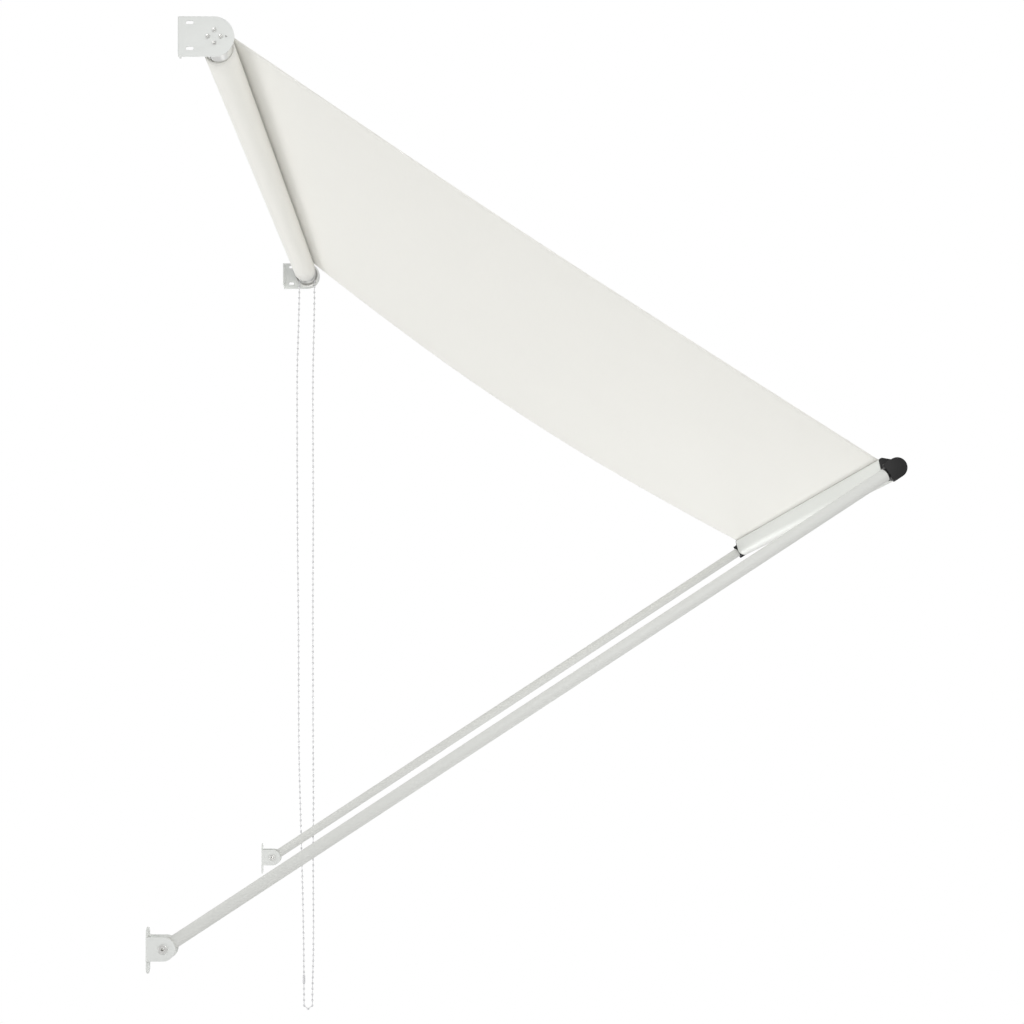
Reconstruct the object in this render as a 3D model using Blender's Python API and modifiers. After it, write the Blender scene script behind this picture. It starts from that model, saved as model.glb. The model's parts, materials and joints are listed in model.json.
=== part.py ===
# Drop-arm canvas awning: a roller with a bead-chain drive, two arms that swing
# up from the wall, and a front rail that pulls the cloth out.
# Metres, +Z up, the wall at +Y, the cloth runs out towards -Y, X along the roller.
# The origin lies on the back face of the upper left bracket, level with the roller.

import math

import bmesh
import bpy
from mathutils import Matrix, Vector

# Overall width and the roller's place in front of the wall.
OVERALL_WIDTH = 1.000
LEFT_FACE_X = -0.0125
ROLLER_OUT = 0.050
CLEARANCE = 0.0003

# Upper brackets, bent from sheet.
SHEET = 0.002
PLATE_RADIUS = 0.0272
FLANGE_DEPTH = 0.016
FLANGE_HEIGHT = 0.048
FLANGE_CORNER = 0.004
BEND_RADIUS = 0.0022
SLOT_LENGTH = 0.011
SLOT_WIDTH = 0.0052
SLOT_FROM_WALL = 0.0165
UPPER_SLOT_Z = 0.0193
LOWER_SLOT_Z = -0.0161
PEG_CIRCLE = 0.0089
PEG_RADIUS = 0.0021
PEG_FLARE_RADIUS = 0.0032
PEG_FLARE = 0.0005
PEG_DIMPLE_RADIUS = 0.0011
PEG_DIMPLE_DEPTH = 0.001
SPARE_HOLE_OUT = 0.016
SPARE_HOLE_RADIUS = 0.0014
WALL_SCREW_RADIUS = 0.0021
WALL_SLOT_LENGTH = 0.0075
WALL_SCREW_SPACING = 0.030

# Roller tube, with the groove for the cloth's rod.
TUBE_RADIUS = 0.020
TUBE_WALL = 0.0018
ROLLER_LEFT_GAP = 0.0088
ROLLER_RIGHT_GAP = 0.0185
GROOVE_RADIUS = 0.0023
GROOVE_MOUTH = 0.0014
GROOVE_WALL = 0.0014
GROOVE_DEPTH = 0.0030
ROLLER_GROOVE_ANGLE = math.radians(-60)

# Idle end: a pin on the left bracket and a plug in the tube.
IDLE_PIN_RADIUS = 0.004
IDLE_PIN_LENGTH = 0.023
IDLE_FLANGE_RADIUS = 0.0135
IDLE_FLANGE = 0.003
PLUG_FLANGE = 0.0029
PLUG_LENGTH = 0.030
PLUG_LEAD_IN = 0.001
PIN_LEAD_IN = 0.0006

# Drive end, from the right bracket inwards.
HOUSING_RADIUS = 0.0245
HOUSING_WALL = 0.0016
HOUSING_BASE = 0.0009
HOUSING_DEPTH = 0.0084
HOUSING_CHAMFER = 0.0008
STRAND_SLOT = 0.0065
GATE_TOP = 0.007
CHAIN_PLANE = 0.0068
WHEEL_POCKETS = 8
WHEEL_RIM_RADIUS = 0.0186
WHEEL_THICKNESS = 0.0066
POCKET_RADIUS = 0.0028
WHEEL_HUB_RADIUS = 0.0085
WHEEL_HUB_LENGTH = 0.0036
WHEEL_CHAMFER = 0.0004
WHEEL_LIP = 0.0001
SPINDLE_RADIUS = 0.0050
SPINDLE_LENGTH = 0.046
SPRING_WIRE = 0.0011
SPRING_TURNS = 5
SPRING_SPACE = 0.0040
SPRING_COIL_GAP = 0.0001
DRIVE_FLANGE = 0.0034
DRIVE_LENGTH = 0.030
WASHER_RADIUS = 0.0068
WASHER_THICKNESS = 0.0010
SPINDLE_SCREW_RADIUS = 0.0016
SPINDLE_SCREW_LENGTH = 0.012
SCREW_HEAD_RADIUS = 0.0034
SCREW_HEAD_HEIGHT = 0.0022
SCREW_SLOT_WIDTH = 0.0009
SCREW_SLOT_DEPTH = 0.0010

# Cloth: the turns on the tube, the canopy and the rods in its two hems.
CLOTH_THICKNESS = 0.0006
ROLL_TURNS = 4
TURN_GAP = 0.0001
CANOPY_LEFT = 0.031
CANOPY_RIGHT_GAP = 0.040
CANOPY_THICKNESS = 0.0009
LEFT_SAG = 0.0056
RIGHT_SAG = 0.028
SAG_SPREAD = 1.3
CANOPY_DROP_IN = 0.0008
CLOTH_ANGLE = math.radians(33.05)
KEDER_WEB = 0.0008

# Arms, pivots and lower brackets.
PIVOT_Y = 0.0199
PIVOT_Z = -1.2440
LOWER_WALL_Y = 0.0440
ARM_LENGTH = 1.1975
ARM_ANGLE = math.radians(33.28)
ARM_RADIUS = 0.009
ARM_WALL = 0.0015
LEFT_ARM_U = 0.0115
RIGHT_ARM_GAP = 0.020
EAR_RADIUS = 0.0165
EAR_GAP = 0.019
EAR_STEP = 0.0006
BASE_HEIGHT = 0.064
BASE_DROP = 0.003
TAB_WIDTH = 0.017
TAB_SCREW_RISE = 0.0245
TAB_SCREW_RADIUS = 0.0022
RIVET_RADIUS = 0.004
RIVET_BORE = 0.0021
RIVET_HEAD_RADIUS = 0.0066
RIVET_HEAD = 0.0012
RIVET_EDGE = 0.0006
FOOT_SHOULDER = 0.014
SPIGOT_LENGTH = 0.028
SPIGOT_ROOT = 0.004

# Knuckles on the arms' upper ends.
KNUCKLE_THICKNESS = 0.020
KNUCKLE_FACE = 0.0065
KNUCKLE_RADIUS = 0.0141
KNUCKLE_HUB_RADIUS = 0.0102
KNUCKLE_BASE = 0.0136
KNUCKLE_EDGE = 0.0009
KNUCKLE_BORE_DEPTH = 0.014
KNUCKLE_LEFT_U = 0.0015
KNUCKLE_RIGHT_GAP = 0.010

# Front rail: a round body with a fin that holds the hem rod.
RAIL_RADIUS = 0.0145
RAIL_WALL = 0.0016
FIN_ALONG = 0.0194
FIN_UP = 0.0034
FIN_RADIUS = 0.0036
HEM_GROOVE_RADIUS = 0.0021
HEM_GROOVE_MOUTH = 0.0015
CAP_THICKNESS = 0.0034
CAP_PLUG_LENGTH = 0.012
CAP_PIN_RADIUS = 0.004
CAP_PIN_LENGTH = 0.013
CAP_SIDE_GAP = 0.0006

# Bead chain: the balls, and the places the chain passes on its way down and up again,
# as distances from the wall (y) and heights (z).
BEAD_RADIUS = 0.00225
BEAD_PITCH = 0.012
CHAIN_BOTTOM_RADIUS = 0.009
CHAIN_BOTTOM_Y = -0.0527
CHAIN_BOTTOM_Z = -1.562
REAR_STRAND = [
    (-0.0334, -0.050),
    (-0.0317, -0.119),
    (-0.0292, -0.200),
    (-0.0289, -0.300),
    (-0.0293, -0.480),
    (-0.0305, -0.630),
    (-0.0320, -0.790),
    (-0.0325, -0.990),
    (-0.0354, -1.124),
    (-0.0388, -1.240),
    (-0.0415, -1.350),
    (-0.0432, -1.450),
    (-0.0436, -1.520),
]
FRONT_STRAND = [
    (-0.0619, -1.520),
    (-0.0638, -1.450),
    (-0.0638, -1.350),
    (-0.0634, -1.240),
    (-0.0640, -1.124),
    (-0.0632, -0.990),
    (-0.0627, -0.790),
    (-0.0629, -0.630),
    (-0.0635, -0.480),
    (-0.0627, -0.300),
    (-0.0630, -0.200),
    (-0.0648, -0.119),
    (-0.0660, -0.050),
]
CONNECTOR_LENGTH = 0.018
CONNECTOR_WALL = 0.0008
CONNECTOR_PLACE = 12
CONNECTOR_RISE = 0.004

# Facets round a full turn.
SMALL_ROUND = 20
ROUND = 32
BIG_ROUND = 40

# Places that follow from the values above.
RIGHT_FACE_X = LEFT_FACE_X + OVERALL_WIDTH
PIVOT = Vector((PIVOT_Y, PIVOT_Z))
ARM_ALONG = Vector((-math.cos(ARM_ANGLE), math.sin(ARM_ANGLE)))
RAIL_CENTRE = PIVOT + ARM_ALONG * ARM_LENGTH
ROLL_INNER = TUBE_RADIUS + CLEARANCE
ROLL_OUTER = ROLL_INNER + ROLL_TURNS * (CLOTH_THICKNESS + TURN_GAP)
WHEEL_PITCH_RADIUS = BEAD_PITCH / (2 * math.sin(math.pi / WHEEL_POCKETS))
CHAIN_X = RIGHT_FACE_X - CHAIN_PLANE
ROLLER_CENTRE = Vector((-ROLLER_OUT, 0.0))
CLOTH_ALONG = Vector((-math.cos(CLOTH_ANGLE), -math.sin(CLOTH_ANGLE)))
CLOTH_UP = Vector((-math.sin(CLOTH_ANGLE), math.cos(CLOTH_ANGLE)))
HEM_REACH = FIN_ALONG + FIN_RADIUS + CLEARANCE
HEM_POINT = RAIL_CENTRE - CLOTH_ALONG * HEM_REACH + CLOTH_UP * FIN_UP


def clear_scene():
    for obj in list(bpy.data.objects):
        bpy.data.objects.remove(obj, do_unlink=True)


clear_scene()
awning = bpy.data.collections.new("canvas_awning")
bpy.context.scene.collection.children.link(awning)


def new_material(name, colour, roughness, metallic=0.0):
    made = bpy.data.materials.new(name)
    made.use_nodes = True
    shader = made.node_tree.nodes["Principled BSDF"]
    shader.inputs["Base Color"].default_value = (*colour, 1.0)
    shader.inputs["Roughness"].default_value = roughness
    shader.inputs["Metallic"].default_value = metallic
    return made


WHITE_PAINT = (0.76, 0.77, 0.74)
CANVAS = (0.80, 0.78, 0.72)
BLACK_PLASTIC = (0.03, 0.03, 0.03)
GREY_PLASTIC = (0.66, 0.66, 0.64)
ZINC = (0.62, 0.62, 0.60)
PEARL_PLASTIC = (0.78, 0.78, 0.75)

# Directions of a profile's own x, y and length. A side profile is drawn in (y, z).
SIDE = (Vector((0, 1, 0)), Vector((0, 0, 1)), Vector((1, 0, 0)))
WALL = (Vector((1, 0, 0)), Vector((0, 0, 1)), Vector((0, -1, 0)))
ARM = (
    Vector((1, 0, 0)),
    Vector((0, math.sin(ARM_ANGLE), math.cos(ARM_ANGLE))),
    Vector((0, -math.cos(ARM_ANGLE), math.sin(ARM_ANGLE))),
)


def placing(directions, origin):
    turn = Matrix(directions).transposed().to_4x4()
    return Matrix.Translation(origin) @ turn


def arc(centre, radius, start, end, steps):
    """Points along an arc, the angles in radians."""
    return [
        (
            centre[0] + radius * math.cos(start + (end - start) * i / steps),
            centre[1] + radius * math.sin(start + (end - start) * i / steps),
        )
        for i in range(steps + 1)
    ]


def circle(centre, radius, steps):
    return arc(centre, radius, 0.0, 2 * math.pi, steps)[:-1]


def slot(centre, length, width, steps=8):
    """A round-ended slot that lies along the profile's own x."""
    half = (length - width) / 2
    right = arc((centre[0] + half, centre[1]), width / 2, -math.pi / 2, math.pi / 2, steps)
    left = arc((centre[0] - half, centre[1]), width / 2, math.pi / 2, 3 * math.pi / 2, steps)
    return right + left


def to_mesh_object(source, name):
    """The evaluated object as a plain mesh with its caps welded on; the source is removed."""
    bpy.context.view_layer.update()
    graph = bpy.context.evaluated_depsgraph_get()
    mesh = bpy.data.meshes.new_from_object(source.evaluated_get(graph))
    mesh.name = name
    work = bmesh.new()
    work.from_mesh(mesh)
    bmesh.ops.remove_doubles(work, verts=work.verts, dist=0.000001)
    bmesh.ops.recalc_face_normals(work, faces=work.faces)
    work.to_mesh(mesh)
    work.free()
    made = bpy.data.objects.new(name, mesh)
    made.matrix_world = source.matrix_world.copy()
    awning.objects.link(made)
    bpy.data.objects.remove(source, do_unlink=True)
    return made


def extrusion(name, loops, start, end, directions=SIDE, origin=(0, 0, 0)):
    """A flat outline with its holes, extruded from start to end along the third direction."""
    curve = bpy.data.curves.new(name, "CURVE")
    curve.dimensions = "2D"
    curve.fill_mode = "BOTH"
    curve.extrude = (end - start) / 2
    for loop in loops:
        spline = curve.splines.new("POLY")
        spline.points.add(len(loop) - 1)
        for point, (a, b) in zip(spline.points, loop):
            point.co = (a, b, 0.0, 1.0)
        spline.use_cyclic_u = True
    drawn = bpy.data.objects.new(name + "_outline", curve)
    awning.objects.link(drawn)
    middle = directions[2] * ((start + end) / 2)
    drawn.matrix_world = placing(directions, Vector(origin) + middle)
    return to_mesh_object(drawn, name)


def turned(name, profile, directions=SIDE, origin=(0, 0, 0), steps=ROUND):
    """A body of revolution: the profile's (radius, distance) runs from its far end back."""
    mesh = bpy.data.meshes.new(name)
    work = bmesh.new()
    points = [work.verts.new((radius, 0.0, distance)) for radius, distance in profile]
    for first, second in zip(points, points[1:]):
        if first.co.x or second.co.x:
            work.edges.new((first, second))
    work.to_mesh(mesh)
    work.free()
    drawn = bpy.data.objects.new(name + "_profile", mesh)
    awning.objects.link(drawn)
    drawn.matrix_world = placing(directions, Vector(origin))
    screw = drawn.modifiers.new("Turn", "SCREW")
    screw.axis = "Z"
    screw.steps = steps
    screw.render_steps = steps
    screw.use_merge_vertices = True
    screw.merge_threshold = 0.00001
    return to_mesh_object(drawn, name)


def combine(target, other, operation):
    """A Boolean of two meshes, applied, with the second one removed."""
    step = target.modifiers.new(operation.title(), "BOOLEAN")
    step.operation = operation
    step.solver = "EXACT"
    step.object = other
    bpy.context.view_layer.update()
    graph = bpy.context.evaluated_depsgraph_get()
    mesh = bpy.data.meshes.new_from_object(target.evaluated_get(graph))
    target.modifiers.clear()
    old = target.data
    target.data = mesh
    bpy.data.meshes.remove(old)
    mesh.name = target.name
    bpy.data.objects.remove(other, do_unlink=True)
    return target


def joined(target, *others):
    for other in others:
        combine(target, other, "UNION")
    return target


def cut(target, *others):
    for other in others:
        combine(target, other, "DIFFERENCE")
    return target


def finish(obj, material, body=None):
    """Gives a piece its material, its shading and the empty that carries it."""
    obj.data.materials.clear()
    obj.data.materials.append(material)
    if obj.type == "MESH":
        obj.data.shade_smooth()
        obj.data.set_sharp_from_angle(angle=math.radians(35))
    if body:
        placed = obj.matrix_world.copy()
        obj.parent = body
        obj.matrix_parent_inverse = Matrix.Identity(4)
        obj.matrix_basis = body.matrix_world.inverted() @ placed
    return obj


def carrier(name, at):
    """An empty on a joint's axis, which carries the pieces of one moving body."""
    empty = bpy.data.objects.new(name, None)
    empty.empty_display_size = 0.05
    empty.location = at
    awning.objects.link(empty)
    bpy.context.view_layer.update()
    return empty


roller_body = carrier("roller_axis", (0, *ROLLER_CENTRE))
left_arm_body = carrier("left_arm_axis", (0, *PIVOT))
right_arm_body = carrier("right_arm_axis", (0, *PIVOT))
front_bar_body = carrier("front_bar_axis", (0, *RAIL_CENTRE))
canopy_body = carrier("canopy_axis", (0, *ROLLER_CENTRE))


# Upper brackets: a side plate with a half-round end and a flange bent inwards on the wall.
def upper_bracket(name, outer_x, inwards):
    outline = arc(ROLLER_CENTRE, PLATE_RADIUS, math.pi / 2, 3 * math.pi / 2, 20)
    outline += [(0.0, -PLATE_RADIUS), (0.0, PLATE_RADIUS)]
    holes = [
        slot((-SLOT_FROM_WALL, UPPER_SLOT_Z), SLOT_LENGTH, SLOT_WIDTH),
        slot((-SLOT_FROM_WALL, LOWER_SLOT_Z), SLOT_LENGTH, SLOT_WIDTH),
        circle((-ROLLER_OUT - SPARE_HOLE_OUT, 0.0), SPARE_HOLE_RADIUS, 12),
    ]
    holes += [circle(at, PEG_RADIUS + CLEARANCE, 12) for at in peg_places()]
    inner_x = outer_x + inwards * SHEET
    plate = extrusion(name, [outline, *holes], min(outer_x, inner_x), max(outer_x, inner_x))
    root_x = outer_x + inwards * SHEET / 2
    tip_x = outer_x + inwards * FLANGE_DEPTH
    half = FLANGE_HEIGHT / 2
    corner = FLANGE_CORNER
    quarter = math.pi / 2
    rounded = [(root_x, half), (root_x, -half)]
    bottom = (tip_x - inwards * corner, -half + corner)
    top = (tip_x - inwards * corner, half - corner)
    first = [(bottom[0] + inwards * (x - bottom[0]), z) for x, z in arc(bottom, corner, -quarter, 0, 5)]
    second = [(top[0] + inwards * (x - top[0]), z) for x, z in arc(top, corner, 0, quarter, 5)]
    middle_x = outer_x + inwards * (FLANGE_DEPTH + SHEET) / 2
    screws = [
        slot((middle_x, z), WALL_SLOT_LENGTH, 2 * WALL_SCREW_RADIUS)
        for z in (WALL_SCREW_SPACING / 2, -WALL_SCREW_SPACING / 2)
    ]
    flange = extrusion(name + "_flange", [rounded + first + second, *screws], 0.0, SHEET, WALL)
    joined(plate, flange)
    round_bend(plate, outer_x, 0.0)
    return finish(plate, new_material(name, WHITE_PAINT, 0.4))


def round_bend(plate, outer_x, wall_y):
    """Rounds the edge on the wall where the sheet is bent, at the given x."""
    work = bmesh.new()
    work.from_mesh(plate.data)
    world = plate.matrix_world
    edges = [
        edge
        for edge in work.edges
        if all(
            abs((world @ v.co).x - outer_x) < 1e-5 and abs((world @ v.co).y - wall_y) < 1e-5
            for v in edge.verts
        )
    ]
    bmesh.ops.bevel(
        work, geom=edges, offset=BEND_RADIUS, offset_type="OFFSET", segments=4, profile=0.5, affect="EDGES"
    )
    work.to_mesh(plate.data)
    work.free()


def peg_places():
    return [
        (-ROLLER_OUT + PEG_CIRCLE * math.cos(turn), PEG_CIRCLE * math.sin(turn))
        for turn in (0, math.pi / 2, math.pi, 3 * math.pi / 2)
    ]


upper_bracket("upper_left_bracket", LEFT_FACE_X, 1)
upper_bracket("upper_right_bracket", RIGHT_FACE_X, -1)


# A turned piece on the roller axis is drawn from the left or from the right bracket inwards.
FROM_LEFT = (Vector((0, 1, 0)), Vector((0, 0, 1)), Vector((1, 0, 0)))
FROM_RIGHT = (Vector((0, 1, 0)), Vector((0, 0, -1)), Vector((-1, 0, 0)))
LEFT_END = (LEFT_FACE_X, *ROLLER_CENTRE)
RIGHT_END = (RIGHT_FACE_X, *ROLLER_CENTRE)


# Idle pin: a flanged pin whose four hollow pegs are riveted through the left bracket.
def bracket_pegs(target, end, directions):
    """Adds the four pegs that pass through the bracket, each with a flared and dimpled end."""
    flare_top = -CLEARANCE - PEG_FLARE
    profile = [
        (0.0, SHEET + 2 * CLEARANCE),
        (PEG_RADIUS, SHEET + 2 * CLEARANCE),
        (PEG_RADIUS, -CLEARANCE),
        (PEG_FLARE_RADIUS, -CLEARANCE),
        (PEG_FLARE_RADIUS - PEG_FLARE / 2, flare_top),
        (PEG_DIMPLE_RADIUS, flare_top),
        (PEG_DIMPLE_RADIUS, PEG_DIMPLE_DEPTH),
        (0.0, PEG_DIMPLE_DEPTH),
    ]
    for number, (y, z) in enumerate(peg_places()):
        joined(target, turned(f"peg_{number}", profile, directions, (end[0], y, z), 12))
    return target


pin_start = SHEET + CLEARANCE
pin_end = pin_start + IDLE_FLANGE + IDLE_PIN_LENGTH
idle_pin = turned(
    "idle_pin",
    [
        (0.0, pin_end),
        (IDLE_PIN_RADIUS - PIN_LEAD_IN, pin_end),
        (IDLE_PIN_RADIUS, pin_end - PIN_LEAD_IN),
        (IDLE_PIN_RADIUS, pin_start + IDLE_FLANGE),
        (IDLE_FLANGE_RADIUS, pin_start + IDLE_FLANGE),
        (IDLE_FLANGE_RADIUS, pin_start),
        (0.0, pin_start),
    ],
    FROM_LEFT,
    LEFT_END,
    SMALL_ROUND,
)
bracket_pegs(idle_pin, LEFT_END, FROM_LEFT)
finish(idle_pin, new_material("idle_pin", ZINC, 0.35, 0.9))


# Roller tube: a drawn tube with a keyhole groove along it.
def keder_outline(centre, radius, towards, reach):
    """A rod with the short web of cloth that leaves it towards the groove's mouth."""
    neck = math.asin(KEDER_WEB / 2 / radius)
    rod = arc(centre, radius, towards + neck, towards + 2 * math.pi - neck, 12)
    ahead = Vector((math.cos(towards), math.sin(towards)))
    aside = Vector((-ahead[1], ahead[0])) * (KEDER_WEB / 2)
    tip = Vector(centre) + ahead * reach
    return rod + [tuple(tip - aside), tuple(tip + aside)]


def roller_profile():
    """The tube's outline with the groove let in, and the bore with the groove's wall standing in."""
    turn = ROLLER_GROOVE_ANGLE
    mouth_half = math.asin(GROOVE_MOUTH / 2 / TUBE_RADIUS)
    seat_distance = TUBE_RADIUS - GROOVE_DEPTH
    seat = (seat_distance * math.cos(turn), seat_distance * math.sin(turn))
    outer = arc((0, 0), TUBE_RADIUS, turn + mouth_half, turn + 2 * math.pi - mouth_half, BIG_ROUND)
    neck_half = math.asin(GROOVE_MOUTH / 2 / GROOVE_RADIUS)
    outer += arc(seat, GROOVE_RADIUS, turn - neck_half, turn + neck_half - 2 * math.pi, 14)
    bore = TUBE_RADIUS - TUBE_WALL
    ridge = GROOVE_RADIUS + GROOVE_WALL
    # The ridge's circle and the bore meet at this angle from the groove's middle.
    meet = math.acos((bore**2 + seat_distance**2 - ridge**2) / (2 * bore * seat_distance))
    inner = arc((0, 0), bore, turn + meet, turn + 2 * math.pi - meet, BIG_ROUND)
    corner = (bore * math.cos(turn - meet), bore * math.sin(turn - meet))
    start = math.atan2(corner[1] - seat[1], corner[0] - seat[0])
    span = 2 * (turn - start)
    while span > 0:
        span -= 2 * math.pi
    while span < -2 * math.pi:
        span += 2 * math.pi
    inner += arc(seat, ridge, start, start + span, 10)[1:-1]
    return outer, inner, seat, ridge


def about_roller(loop):
    return [(y + ROLLER_CENTRE[0], z + ROLLER_CENTRE[1]) for y, z in loop]


tube_outer, tube_inner, groove_seat, groove_ridge = roller_profile()
tube_start = LEFT_FACE_X + ROLLER_LEFT_GAP
tube_end = RIGHT_FACE_X - ROLLER_RIGHT_GAP
roller_tube = extrusion(
    "roller_tube", [about_roller(tube_outer), about_roller(tube_inner)], tube_start, tube_end
)
finish(roller_tube, new_material("roller_tube", ZINC, 0.35, 0.8), roller_body)

hem_start = LEFT_FACE_X + CANOPY_LEFT
hem_end = RIGHT_FACE_X - CANOPY_RIGHT_GAP
keder_radius = GROOVE_RADIUS - CLEARANCE
roller_keder = extrusion(
    "roller_keder",
    [about_roller(keder_outline(groove_seat, keder_radius, ROLLER_GROOVE_ANGLE, GROOVE_DEPTH))],
    hem_start,
    hem_end,
)
finish(roller_keder, new_material("roller_keder", CANVAS, 0.7), roller_body)


# Cloth roll: the last turns of cloth on the tube, wound as one spiral strip.
def spiral(first_radius, steps_per_turn, turns, lead_angle):
    pitch = CLOTH_THICKNESS + TURN_GAP
    total = steps_per_turn * turns
    points = []
    for i in range(total + 1):
        radius = first_radius + pitch * i / steps_per_turn
        angle = lead_angle + 2 * math.pi * i / steps_per_turn
        points.append((radius * math.cos(angle), radius * math.sin(angle)))
    return points


chord = HEM_POINT - ROLLER_CENTRE
chord_tilt = math.atan2(-chord[1], -chord[0]) + math.asin(ROLL_OUTER / chord.length)
leave_angle = math.pi / 2 + chord_tilt
cloth_along = Vector((-math.cos(chord_tilt), -math.sin(chord_tilt)))
cloth_up = Vector((-math.sin(chord_tilt), math.cos(chord_tilt)))
leave_point = ROLLER_CENTRE + cloth_up * ROLL_OUTER
inner_turns = spiral(ROLL_INNER, BIG_ROUND, ROLL_TURNS - 1, leave_angle)
outer_turns = spiral(ROLL_INNER + CLOTH_THICKNESS, BIG_ROUND, ROLL_TURNS - 1, leave_angle)
cloth_roll = extrusion(
    "cloth_roll", [about_roller(inner_turns + outer_turns[::-1])], hem_start, hem_end
)
finish(cloth_roll, new_material("cloth_roll", CANVAS, 0.8), roller_body)


# Idle plug: a flanged plug in the tube's left end that turns on the pin.
plug_radius = TUBE_RADIUS - TUBE_WALL - CLEARANCE
pin_hole = IDLE_PIN_RADIUS + CLEARANCE
plug_outer = ROLLER_LEFT_GAP - CLEARANCE
plug_inner = plug_outer - PLUG_FLANGE + CLEARANCE
idle_plug = turned(
    "idle_plug",
    [
        (pin_hole, plug_outer + PLUG_LENGTH),
        (plug_radius - PLUG_LEAD_IN, plug_outer + PLUG_LENGTH),
        (plug_radius, plug_outer + PLUG_LENGTH - PLUG_LEAD_IN),
        (plug_radius, plug_outer),
        (TUBE_RADIUS, plug_outer),
        (TUBE_RADIUS, plug_inner),
        (pin_hole, plug_inner),
        (pin_hole, plug_outer + PLUG_LENGTH),
    ],
    FROM_LEFT,
    LEFT_END,
)


def groove_relief(start, end):
    """What a plug leaves free for the ridge inside the tube."""
    shape = circle(groove_seat, groove_ridge + CLEARANCE, SMALL_ROUND)
    return extrusion("groove_relief", [about_roller(shape)], start, end)


cut(idle_plug, groove_relief(LEFT_FACE_X + plug_outer, tube_start + 2 * PLUG_LENGTH))
finish(idle_plug, new_material("idle_plug", GREY_PLASTIC, 0.5), roller_body)


# Clutch housing: a cup on the right bracket, open below for the two strands, with its spindle.
housing_start = SHEET + CLEARANCE
housing_end = housing_start + HOUSING_DEPTH
cup_floor = housing_start + HOUSING_BASE
clutch_housing = turned(
    "clutch_housing",
    [
        (SPINDLE_SCREW_RADIUS, housing_start + SPINDLE_LENGTH),
        (SPINDLE_RADIUS, housing_start + SPINDLE_LENGTH),
        (SPINDLE_RADIUS, cup_floor),
        (HOUSING_RADIUS - HOUSING_WALL, cup_floor),
        (HOUSING_RADIUS - HOUSING_WALL, housing_end),
        (HOUSING_RADIUS, housing_end),
        (HOUSING_RADIUS, housing_start + HOUSING_CHAMFER),
        (HOUSING_RADIUS - HOUSING_CHAMFER, housing_start),
        (0.0, housing_start),
        (0.0, housing_start + SPINDLE_LENGTH - SPINDLE_SCREW_LENGTH),
        (SPINDLE_SCREW_RADIUS, housing_start + SPINDLE_LENGTH - SPINDLE_SCREW_LENGTH),
        (SPINDLE_SCREW_RADIUS, housing_start + SPINDLE_LENGTH),
    ],
    FROM_RIGHT,
    RIGHT_END,
    BIG_ROUND,
)
for side in (1, -1):
    strand_y = ROLLER_CENTRE[0] + side * WHEEL_PITCH_RADIUS
    half = STRAND_SLOT / 2
    gate = [(strand_y - half, -GATE_TOP), (strand_y + half, -GATE_TOP)]
    gate += [(strand_y + half, -2 * HOUSING_RADIUS), (strand_y - half, -2 * HOUSING_RADIUS)]
    gate_floor = RIGHT_FACE_X - cup_floor + CLEARANCE
    opened = extrusion("strand_gate", [gate], RIGHT_FACE_X - 2 * housing_end, gate_floor)
    cut(clutch_housing, opened)
bracket_pegs(clutch_housing, RIGHT_END, FROM_RIGHT)
finish(clutch_housing, new_material("clutch_housing", PEARL_PLASTIC, 0.45))


# Chain wheel: a grooved wheel with a pocket for each ball, turning on the spindle.
spindle_hole = SPINDLE_RADIUS + CLEARANCE
wheel_back = CHAIN_PLANE - WHEEL_THICKNESS / 2
wheel_front = CHAIN_PLANE + WHEEL_THICKNESS / 2
chain_groove = BEAD_RADIUS + CLEARANCE
groove_arc = [
    (WHEEL_PITCH_RADIUS - chain_groove * math.sin(turn), CHAIN_PLANE + chain_groove * math.cos(turn))
    for turn in [math.pi * i / 6 for i in range(7)]
]
chain_wheel = turned(
    "chain_wheel",
    [
        (spindle_hole, wheel_front + WHEEL_HUB_LENGTH),
        (WHEEL_HUB_RADIUS, wheel_front + WHEEL_HUB_LENGTH),
        (WHEEL_HUB_RADIUS, wheel_front),
        (WHEEL_RIM_RADIUS - WHEEL_CHAMFER, wheel_front),
        (WHEEL_RIM_RADIUS, CHAIN_PLANE + chain_groove + WHEEL_LIP),
        *groove_arc,
        (WHEEL_RIM_RADIUS, CHAIN_PLANE - chain_groove - WHEEL_LIP),
        (WHEEL_RIM_RADIUS - WHEEL_CHAMFER, wheel_back),
        (spindle_hole, wheel_back),
        (spindle_hole, wheel_front + WHEEL_HUB_LENGTH),
    ],
    FROM_RIGHT,
    RIGHT_END,
    BIG_ROUND,
)
for pocket in range(WHEEL_POCKETS):
    turn = 2 * math.pi * pocket / WHEEL_POCKETS
    bpy.ops.mesh.primitive_uv_sphere_add(segments=10, ring_count=6, radius=POCKET_RADIUS)
    ball = bpy.context.object
    ball.location = (
        CHAIN_X,
        ROLLER_CENTRE[0] + WHEEL_PITCH_RADIUS * math.cos(turn),
        ROLLER_CENTRE[1] + WHEEL_PITCH_RADIUS * math.sin(turn),
    )
    bpy.context.view_layer.update()
    cut(chain_wheel, ball)
finish(chain_wheel, new_material("chain_wheel", PEARL_PLASTIC, 0.45), roller_body)


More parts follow.
